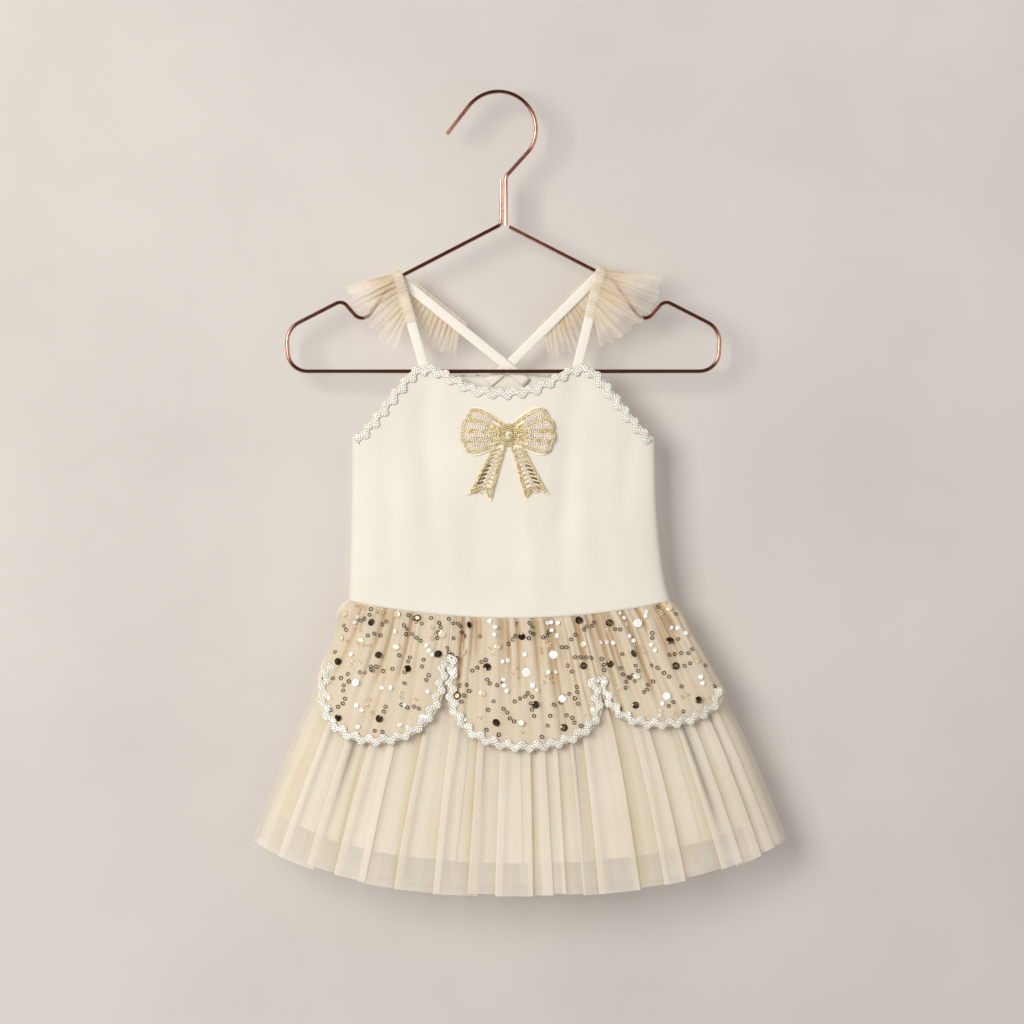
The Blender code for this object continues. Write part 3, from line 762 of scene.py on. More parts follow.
def pleatProfile(pleats, rng, underlay):
    # stations across the cloth: place as a share, shift in mm, height of the fold, panel, fold tone (painted
    # fold shade)
    profile = [(-shareAt(deep), 0.0, height, 0, tone) for deep, height, tone in skirt["sideFolds"]]
    panel = 0
    for share, faces, strength in pleats:
        deep = underlay * rng.uniform(0.7, 1.3)
        crisp = rng.uniform(0.85, 1.15) * (0.45 + 0.6 * strength)
        # each station: shift, height and fold tone; the tone is painted shade in a band just under the fold's
        # edge and a painted highlight, tone 0, on its crest
        edge = [
            (-deep - 5.0, 0.55, 0.25), (-deep - 1.0, 0.9, 0.2), (-1.2, 1.0, 0.15), (-0.2, 0.95, 0.0),
            (0.0, 0.5, 0.0), (-0.3, 0.1, 0.4), (-deep * 0.5, 0.0, 0.7), (-deep + 0.2, -0.1, 0.5),
            (-deep, -0.5, 0.3), (-deep + 0.2, -0.95, 0.5), (-deep * 0.4, -1.0, 0.9), (0.6, -1.0, 1.0),
            (2.4, -0.9, 0.85), (6.0, -0.6, 0.4), (11.0, -0.3, 0.25),
        ]
        if faces < 0:
            edge = [(-shiftBy, height, tone) for shiftBy, height, tone in reversed(edge)]
        for number, (shiftBy, height, tone) in enumerate(edge):
            if number == len(edge) // 2:
                panel += 1
            profile.append((share, shiftBy, height * crisp, panel, 0.25 + (tone - 0.25) * strength))
    for deep, height, tone in reversed(skirt["sideFolds"][:-1]):
        profile.append((shareAt(deep), 0.0, height, panel, tone))
    return profile


def orderProfile(profile):
    # drops stations that would run past the next fold where two stand close
    tidy = [profile[0]]
    for index in range(1, len(profile) - 1):
        share, shiftBy = profile[index][:2]
        after = next((station[0] for station in profile[index + 1:] if station[0] > share + 0.001), 1.0)
        before = next((station[0] for station in reversed(tidy) if station[0] < share - 0.001), -1.0)
        if shiftBy > 1.5 and shiftBy > (after - share) * skirt["room"] * 0.45:
            continue
        crowded = -shiftBy > (share - before) * skirt["room"] * 0.8
        if shiftBy < -1.5 and crowded and abs(profile[index][2]) < 0.6:
            continue
        tidy.append(profile[index])
    return tidy + [profile[-1]]


def makeSkirt(side, name, material, layerName, hem, pleats, seed, nodes, inward=0.0):
    rng = random.Random(seed)
    profile = orderProfile(pleatProfile(pleats, rng, skirt["underlay"]))
    loose = 1.5 if layerName == "long" else 0.4
    hemShift = [loose * rng.uniform(-1.0, 1.0) for _ in range(len(pleats) + 2)]
    wander = [(rng.uniform(-1.6, 1.6), rng.uniform(0, 6.28)) for _ in range(len(pleats) + 2)]
    places, tones = [], []
    for share, shiftBy, height, panel, tone in profile:
        if side == back:
            share, shiftBy = -share, -shiftBy
        line = []
        edgeCalm = 1 - smooth(0.93, 1.0, abs(share))
        for step in range(skirt["rows"] + 1):
            row = step / skirt["rows"]
            top = waistDrop(share) + 0.4
            at = min(abs(share + shiftBy / skirt["hemHalf"]), 1.0)
            bottom = hem - skirt["hemRise"] * at ** skirt["hemCurve"] + hemShift[panel] * edgeCalm
            drop = top + (bottom - top) * row
            below = drop - waistDrop(share)
            longOut, _, pleatHeight = layerAt(below)
            halfWidth = readTable(dress["rings"], drop)[1]
            sway, turn = wander[panel]
            bend = sway * math.sin(row * 4.2 + turn) * row * edgeCalm
            squeeze = 0.45 + 0.55 * smooth(0.0, 0.5, row)
            here = min(max(share + (shiftBy * squeeze + bend) / halfWidth, -1.0), 1.0)
            stand = longOut if layerName == "long" else inward
            fold = pleatHeight * skirt["lie"]
            flutter = 0.7 * row * row * ruffled((here * 9, row * 2, side), 1.0, seed) * edgeCalm
            line.append(skin(side, here, drop, stand + fold * height + flutter))
        places.append(line)
        tones.append([tone] * len(line))
    obj = gridMesh(name, places, material, tones=tones)
    faceOut(obj, side)
    finishPiece(obj, "champagne_tulle", *nodes)


def evenPleats(count, seed):
    rng = random.Random(seed)
    pleats = []
    for step in range(count):
        share = -0.93 + 1.86 * step / (count - 1) + rng.uniform(-0.012, 0.012)
        pleats.append((share, 1 if rng.random() < 0.5 + 0.4 * share else -1, rng.uniform(0.1, 0.3)))
    return pleats


shortPleats = evenPleats(9, 21)
makeSkirt(front, "skirtLongFront", longTulle, "long", skirt["hemLong"], skirt["pleats"], 1,
          ["skirt_long_front"])
makeSkirt(back, "skirtLongBack", longTulle, "long", skirt["hemLong"], skirt["pleats"], 2,
          ["skirt_long_back"])
makeSkirt(front, "skirtShortFront", shortTulle, "short", skirt["hemShort"], shortPleats, 3,
          ["skirt_short_front"], 0.4)
makeSkirt(back, "skirtShortBack", shortTulle, "short", skirt["hemShort"], shortPleats, 4,
          ["skirt_short_back"], 0.4)
print("skirt made")


# The overskirt: gathered tulle in three deep scallops a side
overskirt = {
    # start and end as shares, depth of the notch at each and full length below the waist
    "scallops": (
        (-1.0, -0.365, 34.0, 33.0, 91.0), (-0.365, 0.42, 33.0, 46.0, 90.0), (0.42, 1.0, 46.0, 56.0, 80.0),
    ),
    "fullness": 0.68,
    # half its width in mm, then the depth at which its sides begin and how far they reach round
    "half": 118, "sideDeep": 0.466, "sideReach": 24,
    "steps": 110, "rows": 38, "pinches": 110,
}


def scallopEdge(scallop, turn, inset=0.0):
    # how far below the waist the edge hangs, at a turn from 0 at its start to pi at its end
    _, _, firstNotch, lastNotch, length = scallop
    notch = firstNotch + (lastNotch - firstNotch) * (1 - math.cos(turn)) / 2
    return notch + (length - notch - inset) * max(math.sin(turn), 0.0) ** overskirt["fullness"]


def makePinches(seed):
    # narrow gathers from the waist seam: share, length, strength, width in mm, slant
    rng = random.Random(seed)
    pinches = []
    for number in range(overskirt["pinches"]):
        share = -0.96 + 1.92 * (number + rng.uniform(0.1, 0.9)) / overskirt["pinches"]
        shape = [rng.uniform(*span) for span in ((10, 120), (0.3, 1.3), (0.7, 1.5), (-0.03, 0.05))]
        pinches.append((share, *shape))
    return pinches


pinches = {front: makePinches(71), back: makePinches(72)}


def gatherHeight(side, share, below):
    # folds that start at the waist seam, run down unevenly and die out towards the hem
    total = 0.0
    for octave, (count, strong, fade) in enumerate(((13, 0.9, 110.0), (29, 0.5, 50.0))):
        drift = 0.35 * ruffled((share * 2.0, below * 0.012, octave), 1.0, side * 3.0)
        line = share * count / 2 + drift + 1.3 * ruffled((share * 4.0, octave, 7.0), 1.0, side)
        mix = 0.5 + 0.5 * ruffled((share * 7.0, below * 0.01, octave + 3), 1.0, 2.0)
        total += strong * math.cos(2 * math.pi * line) * math.exp(-below / fade) * (0.5 + mix)
    halfWidth = 108 + below * 0.42
    for middle, length, strength, width, slant in pinches[side]:
        if below > length:
            continue
        offset = (share - middle * (1 + slant * below / 60)) * halfWidth / width
        if abs(offset) < 3:
            total -= strength * math.exp(-offset * offset) * (1 - smooth(0.5, 1.0, below / length))
    deep = depthAt(share)
    ripple = math.cos(deep * 40 + 0.8 * math.sin(share * below / 25))
    sideGather = 0.5 * ripple * (1 - smooth(0.25, 0.5, deep))
    total = total * (1 - smooth(0.94, 1.0, abs(share))) + sideGather * math.exp(-below / 110)
    return total * smooth(-1.5, 2.5, below)


def overskirtPoint(side, share, below, out=0.0):
    # the gathers puff out just under the waist seam
    height = 1.8 + (2.0 if share > 0 else 3.5) * smooth(0.8, 1.0, abs(share))
    puff = height * math.exp(-((below - 8) / 8) ** 2) * (1 + 0.5 * ruffled((share * 9, 0, 5), 1.0, side))
    stand = layerAt(below)[1] + puff * smooth(-1.5, 3, below)
    return skin(side, share, waistDrop(share) + below, stand + gatherHeight(side, share, below) + out)


def makeOverskirt(side, name, node):
    places, tones = [], []
    for number, scallop in enumerate(overskirt["scallops"]):
        start, end = scallop[:2]
        for step in range(overskirt["steps"] + 1):
            if step == 0 and number:
                continue
            turn = math.pi * step / overskirt["steps"]
            share = start + (end - start) * (1 - math.cos(turn)) / 2
            reach = scallopEdge(scallop, turn)
            rows = overskirt["rows"]
            belows = [0.3 + (reach - 0.3) * row / rows for row in range(rows + 1)]
            # darker and denser where the gathers sink in: painted shade in the valleys, with the denser
            # gathered net
            sunk = [smooth(0.2, 1.9, -gatherHeight(side, share, below)) for below in belows]
            places.append([overskirtPoint(side, share, below) for below in belows])
            tones.append([0.15 + 0.75 * share for share in sunk])
    obj = gridMesh(name, places, sequinTulle, tones=tones)
    faceOut(obj, side)
    finishPiece(obj, "sequinned_tulle", node)


makeOverskirt(front, "overskirtFront", "peplum_front")
makeOverskirt(back, "overskirtBack", "peplum_back")
print("overskirt made")


# Ric-rac: a waved metallic braid laid inside each edge
ricrac = {"width": 5.6, "thick": 0.6, "wave": 10.2, "swing": 1.75, "inset": 3.2, "step": 0.8}


def makeRicrac(name, side, path, surface, out, node):
    places = [surface(side, *place, out) for place in path]
    lengths = runLengths(places)
    waves = round(lengths[-1] / ricrac["wave"])
    count = int(lengths[-1] / ricrac["step"])

    def lieAt(along):
        index, t = locate(lengths, min(max(along, 0.0), lengths[-1] * 0.9999))
        return surface(side, *(a + (b - a) * t for a, b in zip(path[index], path[index + 1])), out)

    stations = []
    for step in range(count + 1):
        along = lengths[-1] * step / count
        here = lieAt(along)
        ahead = lieAt(along + 1.5) - lieAt(along - 1.5)
        outward = Vector((0, side, 0))
        across = outward.cross(ahead).normalized()
        turn = 2 * math.pi * waves * along / lengths[-1]
        wave = math.sin(turn) + 0.13 * math.sin(3 * turn)
        stations.append((here + across * ricrac["swing"] * wave, across, outward))
    obj = ribbonMesh(name, stations, ricrac["width"] / 2, ricrac["thick"] / 2, lurex, 10)
    finishPiece(obj, "silver_braid", node)


def neckPath(side):
    return [(share * 0.99, upperEdge(side, share) + ricrac["inset"]) for share in spread(160)]


def scallopPath():
    path = []
    # the inset as a share of the cloth's width
    inset = ricrac["inset"] / (math.pi * 70) * 1.6
    for scallop in overskirt["scallops"]:
        start, end = scallop[:2]
        middle, half = (start + end) / 2, (end - start) / 2
        for step in range(1, 60):
            turn = math.pi * step / 60
            below = scallopEdge(scallop, turn, ricrac["inset"]) + 1.0
            path.append((middle - (half - inset) * math.cos(turn), below))
        if end < 0.9:
            for turn in range(165, 0, -15):
                angle = math.radians(turn)
                below = scallop[3] + 1.0 - ricrac["inset"] * math.sin(angle)
                path.append((end + inset * math.cos(angle), below))
    return path


for edgeSide, sideName in ((front, "Front"), (back, "Back")):
    lower = sideName.lower()
    makeRicrac("ricracNeck" + sideName, edgeSide, neckPath(edgeSide), bodicePoint, 1.1, "trim_neck_" + lower)
    makeRicrac("ricracScallops" + sideName, edgeSide, scallopPath(), overskirtPoint, 1.0,
               "trim_peplum_" + lower)
print("ric-rac made")


# One tree sets small things at given places: rings, discs or balls
def sewnTree(name, shape):
    tree = bpy.data.node_groups.new(name, "GeometryNodeTree")
    for label, kind in (("Geometry", "Geometry"), ("Size", "Float"), ("Thickness", "Float"),
                        ("Tilt", "Float"), ("Vary", "Float"), ("Seed", "Int"), ("Finish", "Material")):
        tree.interface.new_socket(label, in_out="INPUT", socket_type="NodeSocket" + kind)
    tree.interface.new_socket("Geometry", in_out="OUTPUT", socket_type="NodeSocketGeometry")
    given = addNode(tree, "NodeGroupInput").outputs
    points = addNode(tree, "GeometryNodeMeshToPoints", {}, {"Mesh": given["Geometry"]})
    half = calculate(tree, "MULTIPLY", given["Size"], 0.5)
    if shape == "ring":
        circle = addNode(tree, "GeometryNodeCurvePrimitiveCircle", {"Resolution": 12}, {"Radius": half})
        tube = addNode(tree, "GeometryNodeCurvePrimitiveCircle", {"Resolution": 4},
                       {"Radius": given["Thickness"]})
        made = addNode(tree, "GeometryNodeCurveToMesh", {},
                       {"Curve": circle.outputs[0], "Profile Curve": tube.outputs[0]})
    elif shape == "disc":
        radii = {"Radius Bottom": half, "Radius Top": calculate(tree, "MULTIPLY", half, 0.6)}
        made = addNode(tree, "GeometryNodeMeshCone", {"Vertices": 18, "Fill Segments": 1},
                       {**radii, "Depth": given["Thickness"]})
    else:
        made = addNode(tree, "GeometryNodeMeshUVSphere", {"Segments": 8, "Rings": 5}, {"Radius": half})
    outWay = addNode(tree, "GeometryNodeInputNamedAttribute", {"data_type": "FLOAT_VECTOR", "Name": "out"})
    turned = addNode(tree, "FunctionNodeAlignRotationToVector", {"axis": "Z"},
                     {"Vector": outWay.outputs["Attribute"]})
    bounds = {}
    for end, tilt, spin in (("Min", calculate(tree, "MULTIPLY", given["Tilt"], -1.0), -3.1),
                            ("Max", given["Tilt"], 3.1)):
        bounds[end] = addNode(tree, "ShaderNodeCombineXYZ", {"Z": spin}, {"X": tilt, "Y": tilt}).outputs[0]
    lean = addNode(tree, "FunctionNodeRandomValue", {"data_type": "FLOAT_VECTOR"},
                   {**bounds, "Seed": given["Seed"]})
    leaned = addNode(tree, "FunctionNodeRotateRotation", {"rotation_space": "LOCAL"},
                     {"Rotation": turned.outputs[0]})
    leanTurn = addNode(tree, "FunctionNodeEulerToRotation", {}, {"Euler": lean.outputs[0]})
    tree.links.new(leanTurn.outputs[0], leaned.inputs["Rotate By"])
    # inputs 2 and 3 of a plain random value are its smallest and largest
    scale = addNode(tree, "FunctionNodeRandomValue", {"data_type": "FLOAT", 3: 1.0},
                    {2: calculate(tree, "SUBTRACT", 1.0, given["Vary"]), "Seed": given["Seed"]})
    spots = addNode(tree, "GeometryNodeInstanceOnPoints", {}, {
        "Points": points.outputs[0], "Instance": made.outputs[0], "Rotation": leaned.outputs[0],
        "Scale": scale.outputs[1],
    })
    real = addNode(tree, "GeometryNodeRealizeInstances", {}, {"Geometry": spots.outputs[0]})
    shaded = addNode(tree, "GeometryNodeSetShadeSmooth", {"Shade Smooth": shape != "disc"},
                     {"Geometry": real.outputs[0]})
    finish = addNode(tree, "GeometryNodeSetMaterial", {},
                     {"Geometry": shaded.outputs[0], "Material": given["Finish"]})
    addNode(tree, "NodeGroupOutput", {}, {"Geometry": finish.outputs[0]})
    return tree


sewnTrees = {shape: sewnTree("sewn" + shape.capitalize() + "s", shape) for shape in ("ring", "disc", "ball")}


def sewOn(name, shape, spots, slotName, **values):
    # spots: (place in mm, way out); values: the tree's inputs, its sizes in mm
    mesh = bpy.data.meshes.new(name)
    mesh.from_pydata([place * mm for place, _ in spots], [], [])
    ways = mesh.attributes.new("out", "FLOAT_VECTOR", "POINT")
    ways.data.foreach_set("vector", [value for _, out in spots for value in out])
    obj = newObject(name, mesh)
    modifier = obj.modifiers.new("Sewn", "NODES")
    modifier.node_group = sewnTrees[shape]
    items = sewnTrees[shape].interface.items_tree
    sockets = {item.name: item.identifier for item in items if item.in_out == "INPUT"}
    for label, value in values.items():
        modifier[sockets[label]] = value * mm if label in ("Size", "Thickness") else value
    applyModifiers(obj)
    finishPiece(obj, slotName)


gunmetal = shadeHard("gunmetalSequin", "#3F382F", "#766B59", 0.9, 0.25, 300.0)
mirrorDark = shadeHard("mirrorSequin", "#332B20", "#6E624D", 1.0, 0.14, 260.0)
# the white sequins' pure white is partly their pearly lacquer and partly a painted glint
pearlSequin = shadeHard("pearlSequin", "#F4F0EA", "#FFFFFF", 0.15, 0.18, 200.0, 0.5)
goldSequin = shadeHard("paleGoldSequin", "#E4CDA2", "#F3E4C6", 0.4, 0.28, 200.0, 0.3)
goldBead = shadeHard("goldSeedBead", "#CBB47C", "#F1E6C4", 0.35, 0.3, 500.0)
pearlBead = shadeHard("glassPearl", "#E7D8CC", "#F7EEE6", 0.1, 0.25, 400.0, 0.6)
bugle = shadeHard("bronzeBugleBead", "#5E3B14", "#94692C", 0.6, 0.2, 500.0)

# Sequins, the large ones first: single ones and short strings, spread evenly over the scallops
sequins = {
    # kind: shape, finish, strings a side, most in one, spacing, size, thickness, tilt, spread of sizes
    "darkSequins": ("disc", mirrorDark, 24, 1, 6.0, 5.5, 0.5, 0.32, 0.15),
    "glintSequins": ("disc", pearlSequin, 9, 1, 6.0, 6.2, 0.3, 0.2, 0.15),
    "goldSequins": ("disc", goldSequin, 14, 1, 6.0, 5.0, 0.3, 0.25, 0.2),
    "pearlSequins": ("disc", pearlSequin, 30, 3, 3.7, 3.5, 0.25, 0.35, 0.2),
    "ringSequins": ("ring", gunmetal, 84, 4, 2.9, 2.45, 0.34, 0.3, 0.15),
    "goldRings": ("ring", goldSequin, 30, 3, 3.0, 2.4, 0.34, 0.3, 0.15),
}


def scallopReach(share):
    for scallop in overskirt["scallops"]:
        start, end = scallop[:2]
        if start <= share <= end:
            across = (share - start) / (end - start)
            return scallopEdge(scallop, math.acos(min(max(1 - 2 * across, -1.0), 1.0)))
    return 34.0


def girth(share):
    # how far round the overskirt a place is, in mm from its middle
    around = overskirt["sideReach"] * max(overskirt["sideDeep"] - depthAt(share), 0.0)
    return overskirt["half"] * share + math.copysign(around, share)


def onCloth(share, below):
    return abs(share) < 0.992 and 2.2 < below < scallopReach(share) - 6.8


def clothSpot(side, share, below, out):
    place = overskirtPoint(side, share, below, out)
    beside = overskirtPoint(side, share + 0.01, below, out) - overskirtPoint(side, share - 0.01, below, out)
    fall = overskirtPoint(side, share, below + 1.0, out) - place
    way = beside.cross(fall).normalized()
    return place, way * math.copysign(1, way.y * side)


def emptiest(rng, taken):
    # of some random places on the cloth, the one farthest from those taken
    tried = []
    while len(tried) < 12:
        share, below = rng.uniform(-1.08, 1.08), rng.uniform(2.2, 86.0)
        if abs(share) > 0.93:
            deep = overskirt["sideDeep"] * (1 - (abs(share) - 0.93) / 0.18)
            share = math.copysign(shareAt(deep), share)
        if onCloth(share, below):
            room = min([math.hypot(girth(share) - girth(s), below - b) for s, b in taken] + [900.0])
            tried.append((room, share, below))
    return max(tried)[1:]


def makeSequins(side, sideName, seed):
    rng = random.Random(seed)
    taken = []
    for kind, (shape, finish, count, most, spacing, size, thick, tilt, vary) in sequins.items():
        spots = []
        for _ in range(count):
            share, below = emptiest(rng, taken)
            angle = rng.uniform(0, 6.28)
            for _ in range(rng.randint(1, most)):
                if not onCloth(share, below):
                    break
                taken.append((share, below))
                spots.append(clothSpot(side, share, below, 0.7 if shape == "ring" else 1.1))
                angle += rng.uniform(-0.9, 0.9)
                apart = spacing * rng.uniform(0.95, 1.6)
                share += math.sin(angle) * apart / overskirt["half"]
                below += math.cos(angle) * apart
        sewOn(kind + sideName, shape, spots, "sequinned_tulle", Size=size, Thickness=thick, Tilt=tilt,
              Vary=vary, Seed=seed + count, Finish=finish)


makeSequins(front, "Front", 50)
makeSequins(back, "Back", 150)
print("sequins made")


# The bow: beads sewn on a felt shape, four lobes a side, two tails and a knot
bow = {
    "x": 6.6, "drop": 236.7,
    # each lobe of one side: angle, length and width
    "lobes": ((32, 33.0, 9.6), (14, 34.5, 9.6), (-3, 34.5, 9.6), (-18, 33.0, 9.6)),
    "tail": ((0.5, -3.0), (8.0, -4.0), (27.5, -41.0), (19.0, -38.0), (12.0, -45.5)),
    "tailMiddle": (13.5, -27.0),
    # the row of beads down each tail: where its x and its y start, and how far they run
    "spine": ((2.6, 17.2), (-4.0, -37.5)),
    # rings of beads on the knot: radius and height
    "knotRings": ((7.4, 2.3), (6.0, 3.0), (4.6, 3.6), (3.2, 4.1)),
    "knot": 7.2, "taper": 0.75, "bead": 1.5,
}


def bowFrame():
    middle, halfWidth, _, _ = readTable(dress["rings"], bow["drop"])
    share = (bow["x"] - middle) / halfWidth
    at = bodicePoint(front, share, bow["drop"])
    above = bodicePoint(front, share, bow["drop"] - 12)
    below = bodicePoint(front, share, bow["drop"] + 36)
    up = (above - below).normalized()
    out = Vector((0, -1, 0))
    out = (out - up * out.dot(up)).normalized()
    return Vector((bow["x"], at.y, at.z)), up.cross(out).normalized(), up, out


bowCentre, bowRight, bowUp, bowOut = bowFrame()


def onBow(x, y, lift):
    return bowCentre + bowRight * x + bowUp * y + bowOut * lift


def lobePoint(way, lobe, along, aside):
    # along 0 at the knot to 1 at the tip, aside -1 to 1 across the lobe
    angle, length, width = lobe
    turn = math.radians(angle) * (1.32 - 0.42 * along)
    reach = along * (length - 1.5)
    half = width / 2 * (1 + bow["taper"] * (along - 0.5)) * math.sqrt(max(1 - (2 * along - 1) ** 4, 0.0))
    x = reach * math.cos(turn) - aside * half * math.sin(turn)
    y = reach * math.sin(turn) + aside * half * math.cos(turn)
    return way * x, y


def lobeHeight(along, aside):
    arch = math.sin(math.pi * min(max(along, 0), 1)) ** 0.6
    return 1.2 + 1.5 * math.sqrt(max(1 - aside * aside, 0.0)) * arch


def evenPlaces(line, spacing):
    # places along a line of points, evenly spaced from its start to its end
    lengths = runLengths(line)
    count = round(lengths[-1] / spacing)
    places = [line[0]]
    for number in range(1, count + 1):
        along = lengths[-1] * number / count
        index = locate(lengths, along * 0.99999)[0]
        share = (along - lengths[index]) / (lengths[index + 1] - lengths[index])
        places.append(line[index].lerp(line[index + 1], share))
    return places


def tailRim(widen, lengthen):
    middleX, middleY = bow["tailMiddle"]
    return [(middleX + (x - middleX) * widen, middleY + (y - middleY) * lengthen) for x, y in bow["tail"]]


def onCircle(radius, angle, lift):
    return onBow(radius * math.cos(angle), radius * math.sin(angle), lift)


def makeFelt():
    bm = bmesh.new()
    for way in (-1, 1):
        for lobe in bow["lobes"]:
            grid = []
            for i in range(15):
                along = 0.02 + 0.98 * i / 14
                line = []
                for j in range(9):
                    x, y = lobePoint(way, lobe, along, 1.26 * (j / 4 - 1))
                    place = onBow(x, y, 0.5 + lobeHeight(along, j / 4 - 1) * 0.75)
                    line.append(bm.verts.new(place * mm))
                grid.append(line)
            for i in range(14):
                for j in range(8):
                    bm.faces.new((grid[i][j], grid[i + 1][j], grid[i + 1][j + 1], grid[i][j + 1]))
        bm.faces.new([bm.verts.new(onBow(way * x, y, 1.2) * mm) for x, y in tailRim(1.06, 1.03)])
    knot = bow["knot"] + 0.8
    ring = [bm.verts.new(onCircle(knot, k * math.pi / 12, 1.6) * mm) for k in range(24)]
    hub = bm.verts.new(onBow(0, 0, 3.6) * mm)
    for k in range(24):
        bm.faces.new((ring[k], ring[(k + 1) % 24], hub))
    bm.normal_update()
    for face in bm.faces:
        if face.normal.y > 0:
            face.normal_flip()
        face.smooth = True
    obj = keepMesh(bm, "bowFelt", felt)
    thicken(obj, 1.0, -1.0)
    obj.data.set_sharp_from_angle(angle=math.radians(40))
    finishPiece(obj, "gold_beads", "bow_applique")


def makeBeads():
    goldLines, pearlLines, whiteLines, bugleLines = [], [], [], []
    for way in (-1, 1):
        for lobe in bow["lobes"]:
            for inner in (0.90, 0.60):
                outline = []
                for step in range(61):
                    turn = 2 * math.pi * step / 60
                    aside = math.copysign(inner, math.sin(turn) + 1e-9)
                    along = min(max(0.5 - 0.5 * math.cos(turn), 0.18), 0.975 if inner > 0.7 else 0.93)
                    lift = lobeHeight(along, aside) + 0.4
                    outline.append(onBow(*lobePoint(way, lobe, along, aside), lift))
                goldLines.append(outline)
            fillings = ((0.0, 0.40, pearlLines), (-0.3, 0.48, whiteLines), (0.3, 0.48, whiteLines))
            for aside, first, lines in fillings:
                row = []
                for step in range(20):
                    along = first + (0.89 - first) * step / 19
                    row.append(onBow(*lobePoint(way, lobe, along, aside), lobeHeight(along, aside) + 0.5))
                lines.append(row)
        for shrink in (0.90, 0.74):
            rim = tailRim(shrink, shrink)
            goldLines.append([onBow(way * x, y, 2.1) for x, y in rim + rim[:1]])
        for number in range(11):
            # a spine of white beads, with slanting gold beads inside and bronze bugles outside
            t = 0.16 + 0.076 * number
            spineX, spineY = (first + run * t for first, run in bow["spine"])
            reach = 1.6 + 3.2 * t
            for x, y in ((spineX, spineY), (spineX + 0.6, spineY - 1.3)):
                whiteLines.append([onBow(way * (x + aside), y, 2.2) for aside in (-0.6, 0.8)])
            inside = ((spineX - 1.4, spineY - 0.2),
                      (spineX - 1.2 - reach * 0.7, spineY - 0.1 - reach * 0.34))
            outside = ((spineX + 1.9, spineY + 0.4),
                       (spineX + 1.9 + reach * 0.85, spineY + 0.3 - reach * 0.28))
            goldLines.append([onBow(way * x, y, 2.1) for x, y in inside])
            lines = bugleLines if number in (4, 5, 6, 7, 8) else goldLines
            lines.append([onBow(way * x, y, 2.4) for x, y in outside])
        for number in range(7):
            # bugles rayed out from the knot across the loops' roots
            angle = math.radians(-36 + 12 * number)
            ray = [onBow(way * r * math.cos(angle), r * math.sin(angle), 2.9) for r in (8.4, 12.4)]
            goldLines.append(ray)
    for radius, lift in bow["knotRings"]:
        goldLines.append([onCircle(radius, k * math.pi / 20, lift) for k in range(41)])
    beads = bow["bead"]
    for name, lines, spacing, size, finish in (
        ("bowGoldBeads", goldLines, beads * 0.92, beads, goldBead),
        ("bowPearls", pearlLines, 1.8, 1.7, pearlBead),
        ("bowWhiteBeads", whiteLines, 1.3, 1.2, pearlBead), ("bowBugles", bugleLines, 0.4, 1.3, bugle),
        ("bowCentrePearl", [[onBow(0, 0, 4.6)]], 1.0, 3.0, pearlBead),
    ):
        spots = [(place, bowOut) for line in lines for place in evenPlaces(line, spacing)]
        sewOn(name, "ball", spots, "gold_beads", Size=size, Thickness=0.4, Tilt=0.4, Vary=0.12, Seed=5,
              Finish=finish)


makeFelt()
makeBeads()
print("bow made")


# The studio: a painted wall close behind, a soft light from the upper left and a dim front
studio = {
    "wallDepth": 0.0262, "wallSize": 3.0, "floorDrop": 1.3,
    "distance": 2.2, "aimX": 0.0094, "aimZ": -0.2899, "view": 0.3548,
    "air": "#EEECEA", "airStrength": 0.48,
    # name, place, size, power, colour
    "lights": (
        ("keyLight", (-1.2, -1.9, 0.25), 1.2, 45.5, "#FFFDFA"),
        ("fillLight", (1.3, -1.9, -0.2), 1.6, 8, "#FAF9FF"),
        ("backLight", (-0.8, 1.9, 0.7), 1.4, 40, "#FFFFFF"),
    ),
}


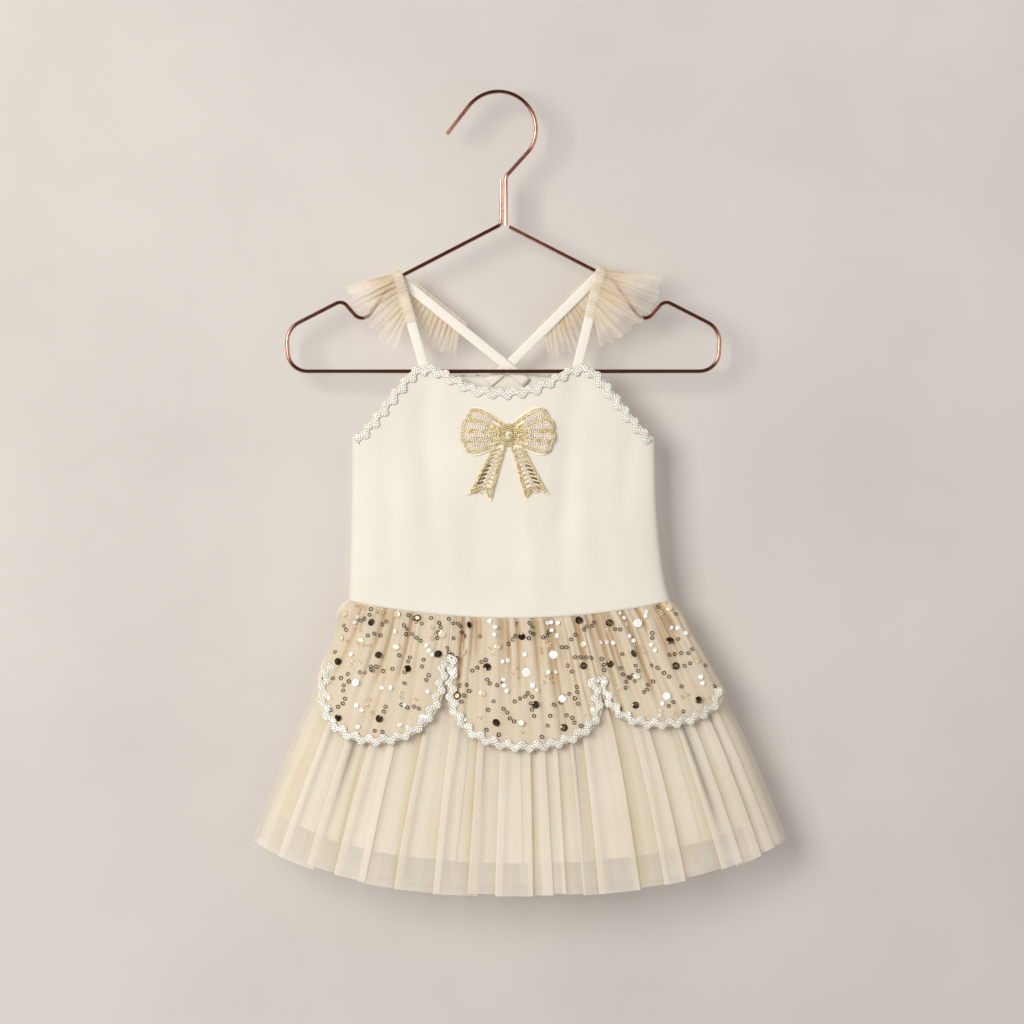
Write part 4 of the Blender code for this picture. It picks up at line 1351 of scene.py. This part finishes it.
def shadeWall():
    # Emulsion paint on plaster: matte, faintly cloudy. It shows only from the dress's side.
    paint, tree, shader = newMaterial("emulsionPaint", Roughness=0.9, SpecularIORLevel=0.15)
    cloud = texture(tree, "Noise", coordinates(tree, "Object"), Scale=5.0, Detail=4.0, Roughness=0.55)
    paintWith(tree, shader, cloud, (0.3, "#C6C0BA"), (0.7, "#CFC9C3"))
    clear = addNode(tree, "ShaderNodeBsdfTransparent")
    facing = addNode(tree, "ShaderNodeNewGeometry")
    mixed = addNode(tree, "ShaderNodeMixShader", {},
                    {0: facing.outputs["Backfacing"], 1: shader.outputs[0], 2: clear.outputs[0]})
    tree.links.new(mixed.outputs[0], tree.nodes["Material Output"].inputs["Surface"])
    return paint


def makeStudio():
    paint = shadeWall()
    half, deep, low = studio["wallSize"] / 2, studio["wallDepth"], studio["floorDrop"]
    sheets = {
        "wall": [(-half, deep, -half), (half, deep, -half), (half, deep, half), (-half, deep, half)],
        "floor": [(-half, -2 * half, -low), (half, -2 * half, -low), (half, deep, -low), (-half, deep, -low)],
    }
    for name, corners in sheets.items():
        mesh = bpy.data.meshes.new(name)
        mesh.from_pydata(corners, [], [(0, 1, 2, 3)])
        mesh.materials.append(paint)
        plane = newObject(name, mesh)
        plane.visible_shadow = False
        plane.visible_diffuse = False

    world = bpy.data.worlds.new("studioWorld")
    world.use_nodes = True
    background = world.node_tree.nodes["Background"]
    background.inputs["Color"].default_value = hexLinear(studio["air"])
    background.inputs["Strength"].default_value = studio["airStrength"]
    bpy.context.scene.world = world

    for name, place, size, power, colour in studio["lights"]:
        light = bpy.data.lights.new(name, "AREA")
        light.size = size
        light.energy = power
        light.color = hexLinear(colour)[:3]
        lamp = newObject(name, light)
        lamp.location = place
        aim = Vector((0.0, 0.0, -0.3)) - Vector(place)
        lamp.rotation_euler = aim.to_track_quat("-Z", "Y").to_euler()

    camera = bpy.data.cameras.new("camera")
    camera.sensor_width = 36
    camera.lens = 18 * studio["distance"] / studio["view"]
    eye = newObject("camera", camera)
    eye.location = (studio["aimX"], -studio["distance"], studio["aimZ"])
    eye.rotation_euler = (math.pi / 2, 0, 0)
    bpy.context.scene.camera = eye
    bpy.context.scene.view_settings.view_transform = "Standard"
    bpy.context.scene.cycles.transparent_max_bounces = 24
    print("studio ready")


makeStudio()
